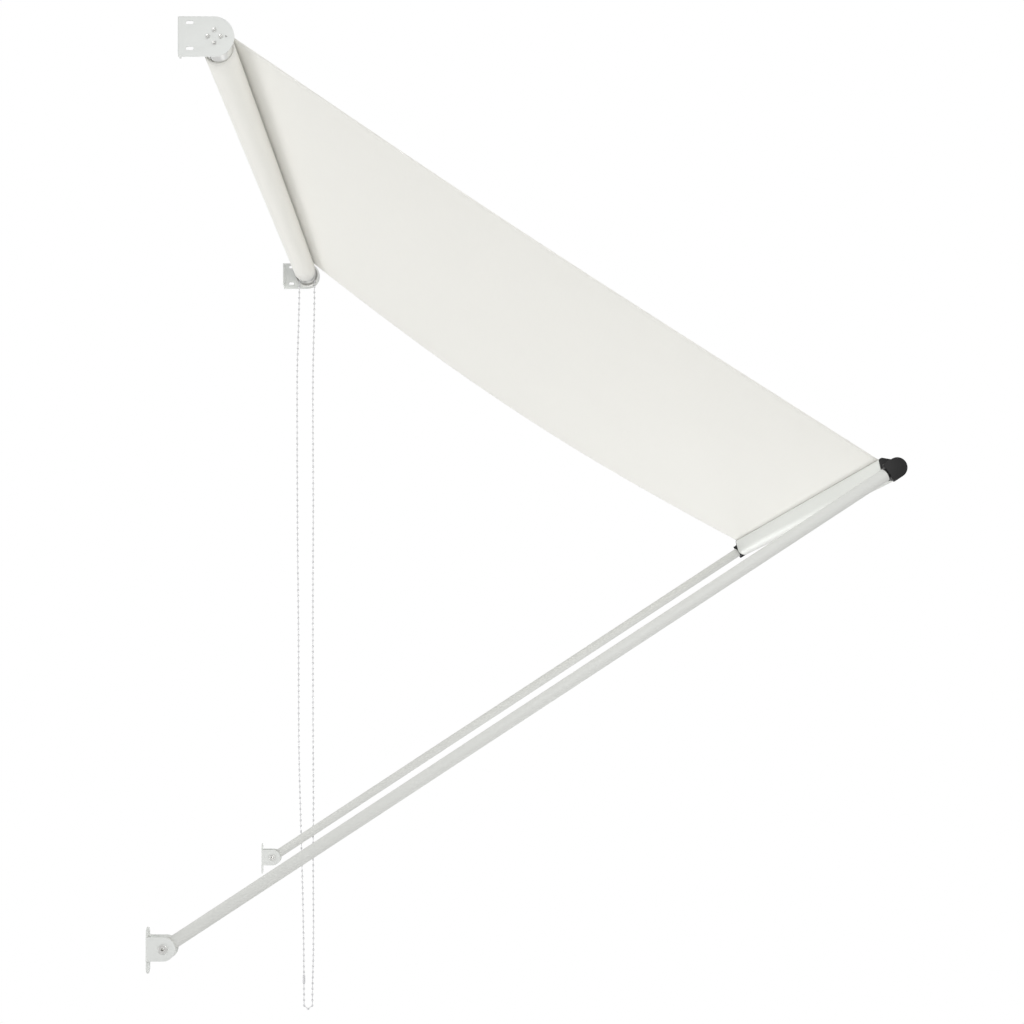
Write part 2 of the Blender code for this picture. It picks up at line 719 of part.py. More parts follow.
# Clutch springs: two wrap springs on the spindle.
def wrap_spring(name, start):
    pitch = SPRING_WIRE + SPRING_COIL_GAP
    mean_radius = SPINDLE_RADIUS + CLEARANCE + SPRING_WIRE / 2
    per_turn = 12
    curve = bpy.data.curves.new(name, "CURVE")
    curve.dimensions = "3D"
    curve.bevel_depth = SPRING_WIRE / 2
    curve.bevel_resolution = 1
    curve.use_fill_caps = True
    spline = curve.splines.new("POLY")
    spline.points.add(per_turn * SPRING_TURNS)
    for i, point in enumerate(spline.points):
        turn = 2 * math.pi * i / per_turn
        along = start + SPRING_WIRE / 2 + pitch * i / per_turn
        point.co = (
            RIGHT_FACE_X - along,
            ROLLER_CENTRE[0] + mean_radius * math.cos(turn),
            ROLLER_CENTRE[1] + mean_radius * math.sin(turn),
            1.0,
        )
    made = bpy.data.objects.new(name + "_wire", curve)
    awning.objects.link(made)
    return finish(to_mesh_object(made, name), new_material(name, ZINC, 0.3, 1.0), roller_body)


spring_length = (SPRING_WIRE + SPRING_COIL_GAP) * SPRING_TURNS + SPRING_WIRE
hub_end = wheel_front + WHEEL_HUB_LENGTH
first_spring = hub_end + SPRING_SPACE
wrap_spring("clutch_spring_1", first_spring)
wrap_spring("clutch_spring_2", first_spring + spring_length + SPRING_SPACE)


# Drive plug: a cup that fits the tube and is driven by the springs.
spring_room = SPINDLE_RADIUS + SPRING_WIRE + 2 * CLEARANCE
drive_shoulder = ROLLER_RIGHT_GAP - CLEARANCE
drive_plug = turned(
    "drive_plug",
    [
        (spring_room, drive_shoulder + DRIVE_LENGTH),
        (plug_radius - PLUG_LEAD_IN, drive_shoulder + DRIVE_LENGTH),
        (plug_radius, drive_shoulder + DRIVE_LENGTH - PLUG_LEAD_IN),
        (plug_radius, drive_shoulder),
        (TUBE_RADIUS, drive_shoulder),
        (TUBE_RADIUS, drive_shoulder - DRIVE_FLANGE),
        (spring_room, drive_shoulder - DRIVE_FLANGE),
        (spring_room, drive_shoulder + DRIVE_LENGTH),
    ],
    FROM_RIGHT,
    RIGHT_END,
)
cut(drive_plug, groove_relief(tube_end - 2 * DRIVE_LENGTH, RIGHT_FACE_X - drive_shoulder))
finish(drive_plug, new_material("drive_plug", GREY_PLASTIC, 0.5), roller_body)

# Washer and screw on the spindle's end keep the clutch together.
spindle_end = housing_start + SPINDLE_LENGTH
washer_start = spindle_end + CLEARANCE
spindle_washer = turned(
    "spindle_washer",
    [
        (SPINDLE_SCREW_RADIUS + CLEARANCE, washer_start + WASHER_THICKNESS),
        (WASHER_RADIUS, washer_start + WASHER_THICKNESS),
        (WASHER_RADIUS, washer_start),
        (SPINDLE_SCREW_RADIUS + CLEARANCE, washer_start),
        (SPINDLE_SCREW_RADIUS + CLEARANCE, washer_start + WASHER_THICKNESS),
    ],
    FROM_RIGHT,
    RIGHT_END,
    SMALL_ROUND,
)
finish(spindle_washer, new_material("spindle_washer", ZINC, 0.35, 1.0))
head_start = washer_start + WASHER_THICKNESS + CLEARANCE
screw_shank = SPINDLE_SCREW_RADIUS - CLEARANCE
spindle_screw = turned(
    "spindle_screw",
    [
        (0.0, head_start + SCREW_HEAD_HEIGHT),
        (SCREW_HEAD_RADIUS * 0.6, head_start + SCREW_HEAD_HEIGHT),
        (SCREW_HEAD_RADIUS, head_start + SCREW_HEAD_HEIGHT / 2),
        (SCREW_HEAD_RADIUS, head_start),
        (screw_shank, head_start),
        (screw_shank, spindle_end - SPINDLE_SCREW_LENGTH + 2 * CLEARANCE),
        (0.0, spindle_end - SPINDLE_SCREW_LENGTH + 2 * CLEARANCE),
    ],
    FROM_RIGHT,
    RIGHT_END,
    SMALL_ROUND,
)
slot_top = RIGHT_FACE_X - head_start - SCREW_HEAD_HEIGHT
slot_half = SCREW_SLOT_WIDTH / 2
slot_shape = [
    (ROLLER_CENTRE[0] - 2 * SCREW_HEAD_RADIUS, -slot_half),
    (ROLLER_CENTRE[0] + 2 * SCREW_HEAD_RADIUS, -slot_half),
    (ROLLER_CENTRE[0] + 2 * SCREW_HEAD_RADIUS, slot_half),
    (ROLLER_CENTRE[0] - 2 * SCREW_HEAD_RADIUS, slot_half),
]
cut(spindle_screw, extrusion("screw_slot", [slot_shape], slot_top - SCREW_SLOT_DEPTH, slot_top + SCREW_SLOT_DEPTH))
finish(spindle_screw, new_material("spindle_screw", ZINC, 0.3, 1.0))


# Canopy: the paid-out cloth, straighter at the left edge and slack towards the right one.
bpy.ops.mesh.primitive_grid_add(x_subdivisions=10, y_subdivisions=22, size=1.0)
canopy = bpy.context.object
canopy.name = "canopy_cloth"
canopy.data.name = "canopy_cloth"
for owner in list(canopy.users_collection):
    owner.objects.unlink(canopy)
awning.objects.link(canopy)
cloth_start = leave_point + cloth_up * (CANOPY_THICKNESS / 2 - CLOTH_THICKNESS) + cloth_along * CANOPY_DROP_IN
cloth_finish = HEM_POINT
for vertex in canopy.data.vertices:
    across = vertex.co.x + 0.5
    share = vertex.co.y + 0.5
    edge_sag = LEFT_SAG + (RIGHT_SAG - LEFT_SAG) * across**SAG_SPREAD
    depth = edge_sag * math.sin(math.pi * share)
    place = cloth_start.lerp(cloth_finish, share) - cloth_up * depth
    vertex.co = (hem_start + (hem_end - hem_start) * across, place[0], place[1])
thicken = canopy.modifiers.new("Thickness", "SOLIDIFY")
thicken.thickness = CANOPY_THICKNESS
thicken.offset = 0.0
finish(canopy, new_material("canopy_cloth", CANVAS, 0.85), canopy_body)


# Front rail: an extruded profile, a round body with a fin that carries the hem's groove.
def rail_point(along, up):
    """A place in the rail's section: along the cloth towards the roller, and up from it."""
    return RAIL_CENTRE - CLOTH_ALONG * along + CLOTH_UP * up


fin_centre = (FIN_ALONG, FIN_UP)
fin_reach = math.hypot(*fin_centre)
fin_turn = math.atan2(FIN_UP, FIN_ALONG)
tangent = math.acos((RAIL_RADIUS - FIN_RADIUS) / fin_reach)


def rail_outline():
    """The outer line round the body and the fin, without the groove."""
    body = arc((0, 0), RAIL_RADIUS, fin_turn + tangent, fin_turn + 2 * math.pi - tangent, 28)
    fin = arc(fin_centre, FIN_RADIUS, fin_turn - tangent, fin_turn + tangent, 8)
    return body + fin


def grooved_rail_outline():
    """The outer line with the keyhole groove let into the fin's tip."""
    mouth = math.asin(HEM_GROOVE_MOUTH / 2 / FIN_RADIUS)
    neck = math.asin(HEM_GROOVE_MOUTH / 2 / HEM_GROOVE_RADIUS)
    body = arc((0, 0), RAIL_RADIUS, fin_turn + tangent, fin_turn + 2 * math.pi - tangent, 28)
    lower = arc(fin_centre, FIN_RADIUS, fin_turn - tangent, -mouth, 5)
    groove = arc(fin_centre, HEM_GROOVE_RADIUS, -neck, neck - 2 * math.pi, 14)
    upper = arc(fin_centre, FIN_RADIUS, mouth, fin_turn + tangent, 5)
    return body + lower + groove + upper


def in_rail(loop):
    return [tuple(rail_point(along, up)) for along, up in loop]


rail_start = LEFT_FACE_X + KNUCKLE_LEFT_U + KNUCKLE_THICKNESS + CAP_SIDE_GAP + CAP_THICKNESS + CLEARANCE
rail_end = RIGHT_FACE_X - KNUCKLE_RIGHT_GAP - KNUCKLE_THICKNESS - CAP_SIDE_GAP - CAP_THICKNESS - CLEARANCE
rail_bore = RAIL_RADIUS - RAIL_WALL
front_rail = extrusion(
    "front_rail", [in_rail(grooved_rail_outline()), in_rail(circle((0, 0), rail_bore, ROUND))], rail_start, rail_end
)
finish(front_rail, new_material("front_rail", WHITE_PAINT, 0.4), front_bar_body)
hem_keder = extrusion(
    "hem_keder",
    [in_rail(keder_outline(fin_centre, HEM_GROOVE_RADIUS - CLEARANCE, 0.0, FIN_RADIUS))],
    max(hem_start, rail_start),
    min(hem_end, rail_end),
)
finish(hem_keder, new_material("hem_keder", CANVAS, 0.7), front_bar_body)


# Rail caps: a black end plate with a plug in the rail and the pivot pin in the knuckle.
def rail_cap(name, rail_face, outwards):
    face = rail_face + outwards * CLEARANCE
    back = face + outwards * CAP_THICKNESS
    plate = extrusion(name, [in_rail(rail_outline())], min(face, back), max(face, back))
    plug_end = rail_face - outwards * CAP_PLUG_LENGTH
    overlap = face + outwards * CAP_THICKNESS / 2
    plug_loop = in_rail(circle((0, 0), rail_bore - CLEARANCE, ROUND))
    plug = extrusion("plug", [plug_loop], min(plug_end, overlap), max(plug_end, overlap))
    pin_end = back + outwards * CAP_PIN_LENGTH
    pin_loop = in_rail(circle((0, 0), CAP_PIN_RADIUS, SMALL_ROUND))
    pin = extrusion("pin", [pin_loop], min(pin_end, overlap), max(pin_end, overlap))
    joined(plate, plug, pin)
    return finish(plate, new_material(name, BLACK_PLASTIC, 0.5), front_bar_body)


rail_cap("left_rail_cap", rail_start, -1)
rail_cap("right_rail_cap", rail_end, 1)


# Arms: straight round tubes with a moulded foot below and a knuckle above.
def arm_frame(arm_x):
    return (arm_x, *PIVOT)


def eye_outline(centre, radius, reach, steps=12):
    """In the side view, a round eye with parallel sides that run along the arm to a flat end."""
    along = ARM_ALONG * (1 if reach > 0 else -1)
    lift = Vector((-along[1], along[0]))
    turn = math.atan2(along[1], along[0])
    eye = arc(centre, radius, turn + math.pi / 2, turn + 3 * math.pi / 2, steps)
    root = centre + along * abs(reach)
    return eye + [tuple(root - lift * radius), tuple(root + lift * radius)]


def arm_tube(name, arm_x, body):
    start = FOOT_SHOULDER + CLEARANCE
    end = ARM_LENGTH - KNUCKLE_BASE - CLEARANCE
    loops = [circle((0, 0), ARM_RADIUS, 24), circle((0, 0), ARM_RADIUS - ARM_WALL, 24)]
    tube = extrusion(name, loops, start, end, ARM, arm_frame(arm_x))
    return finish(tube, new_material(name, WHITE_PAINT, 0.4), body)


def spigot(arm_x, start, end):
    radius = ARM_RADIUS - ARM_WALL - CLEARANCE
    return extrusion("spigot", [circle((0, 0), radius, SMALL_ROUND)], start, end, ARM, arm_frame(arm_x))


def arm_foot(name, arm_x, body):
    half = EAR_GAP / 2 - CLEARANCE
    outline = eye_outline(PIVOT, ARM_RADIUS, FOOT_SHOULDER)
    bore = circle(PIVOT, RIVET_RADIUS + CLEARANCE, SMALL_ROUND)
    foot = extrusion(name, [outline, bore], arm_x - half, arm_x + half)
    joined(foot, spigot(arm_x, FOOT_SHOULDER - SPIGOT_ROOT, FOOT_SHOULDER + SPIGOT_LENGTH))
    return finish(foot, new_material(name, GREY_PLASTIC, 0.5), body)


def knuckle(name, arm_x, outer, inwards, body):
    """A wide face on the outer side, a slimmer hub behind it, a spigot for the arm and a bore for the pin."""
    face_back = outer + inwards * KNUCKLE_FACE
    inner = outer + inwards * KNUCKLE_THICKNESS
    middle = outer + inwards * KNUCKLE_FACE / 2
    face_outline = eye_outline(RAIL_CENTRE, KNUCKLE_RADIUS, -KNUCKLE_BASE, 18)
    head = extrusion(name, [face_outline], min(outer, face_back), max(outer, face_back))
    soften_edges(head)
    hub_outline = eye_outline(RAIL_CENTRE, KNUCKLE_HUB_RADIUS, -KNUCKLE_BASE + CLEARANCE, 18)
    hub = extrusion("hub", [hub_outline], min(middle, inner), max(middle, inner))
    root = ARM_LENGTH - KNUCKLE_BASE
    joined(head, hub, spigot(arm_x, root - SPIGOT_LENGTH, root + SPIGOT_ROOT))
    floor = inner - inwards * KNUCKLE_BORE_DEPTH
    past = inner + inwards * SHEET
    bore_loop = circle(RAIL_CENTRE, CAP_PIN_RADIUS + CLEARANCE, SMALL_ROUND)
    cut(head, extrusion("pin_bore", [bore_loop], min(floor, past), max(floor, past)))
    return finish(head, new_material(name, BLACK_PLASTIC, 0.5), body)


def soften_edges(obj):
    """Rounds the rims of a flat moulded piece, before anything is joined to it."""
    work = bmesh.new()
    work.from_mesh(obj.data)
    rims = [edge for edge in work.edges if edge.is_manifold and edge.calc_face_angle(0) > math.radians(50)]
    bmesh.ops.bevel(
        work, geom=rims, offset=KNUCKLE_EDGE, offset_type="OFFSET", segments=2, profile=0.5, affect="EDGES"
    )
    work.to_mesh(obj.data)
    work.free()


left_arm_x = LEFT_FACE_X + LEFT_ARM_U
right_arm_x = RIGHT_FACE_X - RIGHT_ARM_GAP
for side, arm_x, body in (("left", left_arm_x, left_arm_body), ("right", right_arm_x, right_arm_body)):
    arm_tube(f"{side}_arm_tube", arm_x, body)
    arm_foot(f"{side}_arm_foot", arm_x, body)
knuckle("left_knuckle", left_arm_x, LEFT_FACE_X + KNUCKLE_LEFT_U, 1, left_arm_body)
knuckle("right_knuckle", right_arm_x, RIGHT_FACE_X - KNUCKLE_RIGHT_GAP, -1, right_arm_body)


# Lower brackets: one folded sheet, a base with screw tabs above and below and two ears.
def lower_bracket(name, arm_x):
    half_width = EAR_GAP / 2 + SHEET
    root = EAR_GAP / 2 + SHEET / 2
    tab = TAB_WIDTH / 2
    top = BASE_HEIGHT / 2 - BASE_DROP
    bottom = -BASE_HEIGHT / 2 - BASE_DROP
    step = EAR_RADIUS - EAR_STEP
    shoulder = step - EAR_STEP
    outline = [(-root, -shoulder), (-tab, -step)]
    outline += arc((0, bottom + tab), tab, math.pi, 2 * math.pi, 10)
    outline += [(tab, -step), (root, -shoulder), (root, shoulder), (tab, step)]
    outline += arc((0, top - tab), tab, 0, math.pi, 10)
    outline += [(-tab, step), (-root, shoulder)]
    screw_heights = (TAB_SCREW_RISE - BASE_DROP, -TAB_SCREW_RISE - BASE_DROP)
    screws = [circle((0, z), TAB_SCREW_RADIUS, 14) for z in screw_heights]
    base = extrusion(name, [outline, *screws], 0.0, SHEET, WALL, (arm_x, LOWER_WALL_Y, PIVOT_Z))
    ear = arc(PIVOT, EAR_RADIUS, math.pi / 2, 3 * math.pi / 2, 18)
    ear += [(LOWER_WALL_Y, PIVOT_Z - EAR_RADIUS), (LOWER_WALL_Y, PIVOT_Z + EAR_RADIUS)]
    hole = circle(PIVOT, RIVET_RADIUS + CLEARANCE, SMALL_ROUND)
    for inner in (arm_x - half_width, arm_x + half_width - SHEET):
        joined(base, extrusion("ear", [ear, hole], inner, inner + SHEET))
    for outer in (arm_x - half_width, arm_x + half_width):
        round_bend(base, outer, LOWER_WALL_Y)
    return finish(base, new_material(name, WHITE_PAINT, 0.4))


# Pivot rivets: hollow rivets with a flat head on each side.
def pivot_rivet(name, arm_x):
    outside = EAR_GAP / 2 + SHEET + CLEARANCE
    top = outside + RIVET_HEAD
    return finish(
        turned(
            name,
            [
                (RIVET_BORE, top),
                (RIVET_HEAD_RADIUS - RIVET_EDGE, top),
                (RIVET_HEAD_RADIUS, outside + RIVET_HEAD / 2),
                (RIVET_HEAD_RADIUS, outside),
                (RIVET_RADIUS, outside),
                (RIVET_RADIUS, -outside),
                (RIVET_HEAD_RADIUS, -outside),
                (RIVET_HEAD_RADIUS, -outside - RIVET_HEAD / 2),
                (RIVET_HEAD_RADIUS - RIVET_EDGE, -top),
                (RIVET_BORE, -top),
                (RIVET_BORE, top),
            ],
            SIDE,
            (arm_x, *PIVOT),
            SMALL_ROUND,
        ),
        new_material(name, ZINC, 0.3, 1.0),
    )


for side, arm_x in (("left", left_arm_x), ("right", right_arm_x)):
    lower_bracket(f"lower_{side}_bracket", arm_x)
    pivot_rivet(f"{side}_pivot_rivet", arm_x)


# Bead chain: an endless loop over the wheel, drawn as a plain tube of the balls' diameter.
def smooth_run(points):
    """Two points for each stretch of a smooth curve through the given places."""
    ends = [points[0] * 2 - points[1], *points, points[-1] * 2 - points[-2]]
    run = []
    for before, here, there, after in zip(ends, ends[1:], ends[2:], ends[3:]):
        run.append(here)
        run.append((here + there) * 0.5625 - (before + after) * 0.0625)
    run.append(points[-1])
    return run


def chain_route():
    top_turn = math.pi / 2 - 0.5 * (BEAD_RADIUS + CLEARANCE) / WHEEL_PITCH_RADIUS
    over_rear = arc(ROLLER_CENTRE, WHEEL_PITCH_RADIUS, top_turn, 0.0, 7)
    over_front = arc(ROLLER_CENTRE, WHEEL_PITCH_RADIUS, math.pi, math.pi - top_turn, 7)
    bottom_centre = (CHAIN_BOTTOM_Y, CHAIN_BOTTOM_Z)
    bottom = arc(bottom_centre, CHAIN_BOTTOM_RADIUS, 0.0, -math.pi, 8)
    down = [Vector(over_rear[-1]), *map(Vector, REAR_STRAND), Vector(bottom[0])]
    up = [Vector(bottom[-1]), *map(Vector, FRONT_STRAND), Vector(over_front[0])]
    route = list(map(Vector, over_rear[:-1])) + smooth_run(down) + list(map(Vector, bottom[1:-1]))
    return route + smooth_run(up) + list(map(Vector, over_front[1:]))


def tube_along(name, route, radius, x):
    curve = bpy.data.curves.new(name, "CURVE")
    curve.dimensions = "3D"
    curve.bevel_depth = radius
    curve.bevel_resolution = 2
    curve.use_fill_caps = True
    spline = curve.splines.new("POLY")
    spline.points.add(len(route) - 1)
    for point, (y, z) in zip(spline.points, route):
        point.co = (x, y, z, 1.0)
    made = bpy.data.objects.new(name, curve)
    awning.objects.link(made)
    return made


chain = tube_along("bead_chain", chain_route(), BEAD_RADIUS, CHAIN_X)
finish(chain, new_material("bead_chain", PEARL_PLASTIC, 0.4))

# Chain connector: a short sleeve that joins the two ends of the chain.
sleeve_from = Vector(REAR_STRAND[CONNECTOR_PLACE])
sleeve_to = Vector(REAR_STRAND[CONNECTOR_PLACE - 1])
sleeve_along = (sleeve_to - sleeve_from).normalized()
sleeve_directions = (
    Vector((1, 0, 0)),
    Vector((0, sleeve_along[1], -sleeve_along[0])),
    Vector((0, sleeve_along[0], sleeve_along[1])),
)
sleeve_bore = BEAD_RADIUS + CLEARANCE
connector = extrusion(
    "chain_connector",
    [circle((0, 0), sleeve_bore + CONNECTOR_WALL, 16), circle((0, 0), sleeve_bore, 16)],
    CONNECTOR_RISE,
    CONNECTOR_RISE + CONNECTOR_LENGTH,
    sleeve_directions,
    (CHAIN_X, *sleeve_from),
)
finish(connector, new_material("chain_connector", PEARL_PLASTIC, 0.4))
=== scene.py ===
import json
import math

import bmesh
import bpy
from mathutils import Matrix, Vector


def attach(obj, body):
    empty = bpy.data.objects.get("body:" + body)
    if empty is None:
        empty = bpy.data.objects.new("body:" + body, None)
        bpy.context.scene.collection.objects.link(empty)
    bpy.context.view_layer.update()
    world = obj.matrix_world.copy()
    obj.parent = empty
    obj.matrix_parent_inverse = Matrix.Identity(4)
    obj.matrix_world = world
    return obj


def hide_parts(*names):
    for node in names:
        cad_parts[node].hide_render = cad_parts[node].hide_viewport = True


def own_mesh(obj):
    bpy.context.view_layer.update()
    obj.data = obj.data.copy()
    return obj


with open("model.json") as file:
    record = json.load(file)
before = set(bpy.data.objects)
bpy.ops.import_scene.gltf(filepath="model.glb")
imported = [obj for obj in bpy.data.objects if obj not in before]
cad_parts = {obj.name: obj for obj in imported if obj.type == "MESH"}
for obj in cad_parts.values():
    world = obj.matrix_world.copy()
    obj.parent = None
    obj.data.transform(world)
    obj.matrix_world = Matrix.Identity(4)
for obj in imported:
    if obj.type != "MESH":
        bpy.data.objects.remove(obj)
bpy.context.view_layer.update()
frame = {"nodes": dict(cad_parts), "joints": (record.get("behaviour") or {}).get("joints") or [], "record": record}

JOINTS = {joint["name"]: joint for joint in frame["joints"]}

# Camera
# The photograph looks along the roller from just past its idle end, a little above the
# arms' lower pivots, so the whole awning is seen in side view with its far end inside.
PHOTO_PIXELS = 1024
METRES_PER_PIXEL = 0.001362
EYE = Vector((-1.7475, -0.3971, -0.8945))
VANISHING_POINT = (469.0, 693.0)
SENSOR_MM = 36.0
LEFT_FACE_X = -0.0125


def shown(name, data):
    """A new object of the scene that shows the given data."""
    made = bpy.data.objects.new(name, data)
    bpy.context.scene.collection.objects.link(made)
    return made


lens_data = bpy.data.cameras.new("photo_lens")
lens_data.sensor_width = SENSOR_MM
lens_data.lens = (LEFT_FACE_X - EYE.x) / METRES_PER_PIXEL / PHOTO_PIXELS * SENSOR_MM
lens_data.shift_x = (PHOTO_PIXELS / 2 - VANISHING_POINT[0]) / PHOTO_PIXELS
lens_data.shift_y = (VANISHING_POINT[1] - PHOTO_PIXELS / 2) / PHOTO_PIXELS
camera = shown("photo_camera", lens_data)
camera.location = EYE
camera.rotation_euler = (math.radians(90), 0, math.radians(-90))
bpy.context.scene.camera = camera
bpy.context.scene.view_settings.view_transform = "Standard"

# Bead chain
# An endless chain of moulded balls on a thin link cord, hung over the clutch wheel at the
# far end. Its route repeats the one that the solids have.
BALL_RADIUS = 0.00225
BALL_PITCH = 0.012
LINK_RADIUS = 0.0008
BALL_STRETCH = 1.3
BALL_FACETS = 12
BALL_RINGS = 8
LINK_FACETS = 6
WHEEL_POCKETS = 8
WHEEL_STEPS = 7
LOOP_STEPS = 8
SEAM_GAP = 0.0003
NEAR_WEIGHT = 9 / 16
FAR_WEIGHT = 1 / 16
CHAIN_X = 0.9807
ROLLER_CENTRE = Vector((-0.050, 0.0))
BOTTOM_CENTRE = Vector((-0.0527, -1.562))
BOTTOM_RADIUS = 0.009
WHEEL_RADIUS = BALL_PITCH / (2 * math.sin(math.pi / WHEEL_POCKETS))
REAR_STRAND = [
    (-0.0334, -0.050), (-0.0317, -0.119), (-0.0292, -0.200), (-0.0289, -0.300), (-0.0293, -0.480),
    (-0.0305, -0.630), (-0.0320, -0.790), (-0.0325, -0.990), (-0.0354, -1.124), (-0.0388, -1.240),
    (-0.0415, -1.350), (-0.0432, -1.450), (-0.0436, -1.520),
]
FRONT_STRAND = [
    (-0.0619, -1.520), (-0.0638, -1.450), (-0.0638, -1.350), (-0.0634, -1.240), (-0.0640, -1.124),
    (-0.0632, -0.990), (-0.0627, -0.790), (-0.0629, -0.630), (-0.0635, -0.480), (-0.0627, -0.300),
    (-0.0630, -0.200), (-0.0648, -0.119), (-0.0660, -0.050),
]


def arc(centre, radius, start, end, steps):
    """Points along an arc in the side plane, as (y, z), the angles in radians."""
    turns = [start + (end - start) * i / steps for i in range(steps + 1)]
    return [Vector(centre) + Vector((math.cos(t), math.sin(t))) * radius for t in turns]


def smooth_run(points):
    """Two points for each stretch of a smooth curve through the given places."""
    ends = [points[0] * 2 - points[1], *points, points[-1] * 2 - points[-2]]
    run = []
    for before, here, there, after in zip(ends, ends[1:], ends[2:], ends[3:]):
        run.append(here)
        run.append((here + there) * NEAR_WEIGHT - (before + after) * FAR_WEIGHT)
    run.append(points[-1])
    return run


def chain_route():
    """The chain's way from the wheel's top down the rear strand and up the front one."""
    top = math.pi / 2 - (BALL_RADIUS + SEAM_GAP) / WHEEL_RADIUS / 2
    over_rear = arc(ROLLER_CENTRE, WHEEL_RADIUS, top, 0.0, WHEEL_STEPS)
    over_front = arc(ROLLER_CENTRE, WHEEL_RADIUS, math.pi, math.pi - top, WHEEL_STEPS)
    bottom = arc(BOTTOM_CENTRE, BOTTOM_RADIUS, 0.0, -math.pi, LOOP_STEPS)
    down = [over_rear[-1], *map(Vector, REAR_STRAND), bottom[0]]
    up = [bottom[-1], *map(Vector, FRONT_STRAND), over_front[0]]
    flat = over_rear[:-1] + smooth_run(down) + bottom[1:-1] + smooth_run(up) + over_front[1:]
    return [Vector((CHAIN_X, y, z)) for y, z in flat]


def node_tree(name, inputs):
    """An empty Geometry Nodes tree with named inputs and one geometry output."""
    tree = bpy.data.node_groups.new(name, "GeometryNodeTree")
    tree.interface.new_socket("Geometry", in_out="INPUT", socket_type="NodeSocketGeometry")
    for label, kind, value in inputs:
        socket = tree.interface.new_socket(label, in_out="INPUT", socket_type=kind)
        if value is not None:
            socket.default_value = value
    tree.interface.new_socket("Geometry", in_out="OUTPUT", socket_type="NodeSocketGeometry")
    return tree, tree.nodes.new("NodeGroupInput"), tree.nodes.new("NodeGroupOutput")


def baked(obj):
    """The mesh that an object's modifiers make of it."""
    bpy.context.view_layer.update()
    graph = bpy.context.evaluated_depsgraph_get()
    return bpy.data.meshes.new_from_object(obj.evaluated_get(graph))


def grow(obj, tree, values):
    """Runs a Geometry Nodes tree on an object and keeps its result as a plain mesh."""
    modifier = obj.modifiers.new("Grow", "NODES")
    modifier.node_group = tree
    for socket in tree.interface.items_tree:
        if socket.in_out == "INPUT" and socket.name in values:
            modifier[socket.identifier] = values[socket.name]
    mesh = baked(obj)
    mesh.name = name = obj.name
    bpy.data.objects.remove(obj, do_unlink=True)
    return shown(name, mesh)


def line_object(name, points):
    """A curve of straight stretches through the given points."""
    curve = bpy.data.curves.new(name + "_line", "CURVE")
    curve.dimensions = "3D"
    spline = curve.splines.new("POLY")
    spline.points.add(len(points) - 1)
    for point, place in zip(spline.points, points):
        point.co = (*place, 1.0)
    return shown(name, curve)


class Value:
    """A shader socket that takes part in Python expressions by adding Math nodes."""

    def __init__(self, board, socket):
        self.board = board
        self.socket = socket

    def math(self, operation, *others):
        return self.board.add("ShaderNodeMath", {"operation": operation}, [self, *others])

    def __add__(self, other):
        return self.math("ADD", other)

    def __mul__(self, other):
        return self.math("MULTIPLY", other)

    def __truediv__(self, other):
        return self.math("DIVIDE", other)

    def __rsub__(self, other):
        return self.board.add("ShaderNodeMath", {"operation": "SUBTRACT"}, [other, self])


class Board:
    """The node tree of one material; add() makes any node and returns its output."""

    def __init__(self, name):
        self.material = bpy.data.materials.new(name)
        self.material.use_nodes = True
        self.nodes = self.material.node_tree.nodes
        self.links = self.material.node_tree.links
        self.shader = self.nodes["Principled BSDF"]

    def add(self, kind, settings=None, values=(), output=0):
        node = self.nodes.new(kind)
        for key, setting in (settings or {}).items():
            setattr(node, key, setting)
        pairs = values.items() if isinstance(values, dict) else enumerate(values)
        for key, value in pairs:
            self.feed(node.inputs[key], value)
        return Value(self, node.outputs[output])

    def feed(self, socket, value):
        if isinstance(value, Value):
            self.links.new(value.socket, socket)
        elif hasattr(value, "__len__") and len(value) == 3 and socket.type == "RGBA":
            socket.default_value = (*value, 1.0)
        else:
            socket.default_value = value

    def surface(self, **values):
        for key, value in values.items():
            self.feed(self.shader.inputs[key.replace("_", " ")], value)

    def place(self, kind="Object"):
        return self.add("ShaderNodeTexCoord", output=kind)

    def noise(self, scale, detail=2.0, where=None, stretch=None):
        """A noise from 0 to 1 on Object coordinates or others, stretched by a vector if given."""
        at = where or self.place()
        if stretch:
            at = self.add("ShaderNodeVectorMath", {"operation": "MULTIPLY"}, [at, stretch])
        values = {"Vector": at, "Scale": scale, "Detail": detail}
        return self.add("ShaderNodeTexNoise", values=values)

    def mix(self, share, first, second):
        """A colour between two others."""
        values = {"Factor": share, "A": first, "B": second}
        return self.add("ShaderNodeMix", {"data_type": "RGBA"}, values, output=2)

    def bump(self, height, distance, strength=1.0):
        values = {"Height": height, "Distance": distance, "Strength": strength}
        return self.add("ShaderNodeBump", values=values)


def linear(red, green, blue):
    """A colour as it is read off a screen, from 0 to 255, in the shader's linear values."""
    parts = [c / 255 for c in (red, green, blue)]
    return tuple(c / 12.92 if c <= 0.04045 else ((c + 0.055) / 1.055) ** 2.4 for c in parts)


def pearl_plastic(name, colour):
    """Off-white moulded plastic: a soft gloss with a faint, cloudy tone."""
    board = Board(name)
    cloud = board.noise(60, 3)
    board.surface(
        Base_Color=board.mix(cloud, tuple(c * 0.95 for c in colour), colour),
        Roughness=board.noise(400, 2) * 0.12 + 0.26,
        Normal=board.bump(board.noise(900, 2), 0.00003),
    )
    return board.material


chain_white = pearl_plastic("chain_plastic", linear(222, 222, 224))


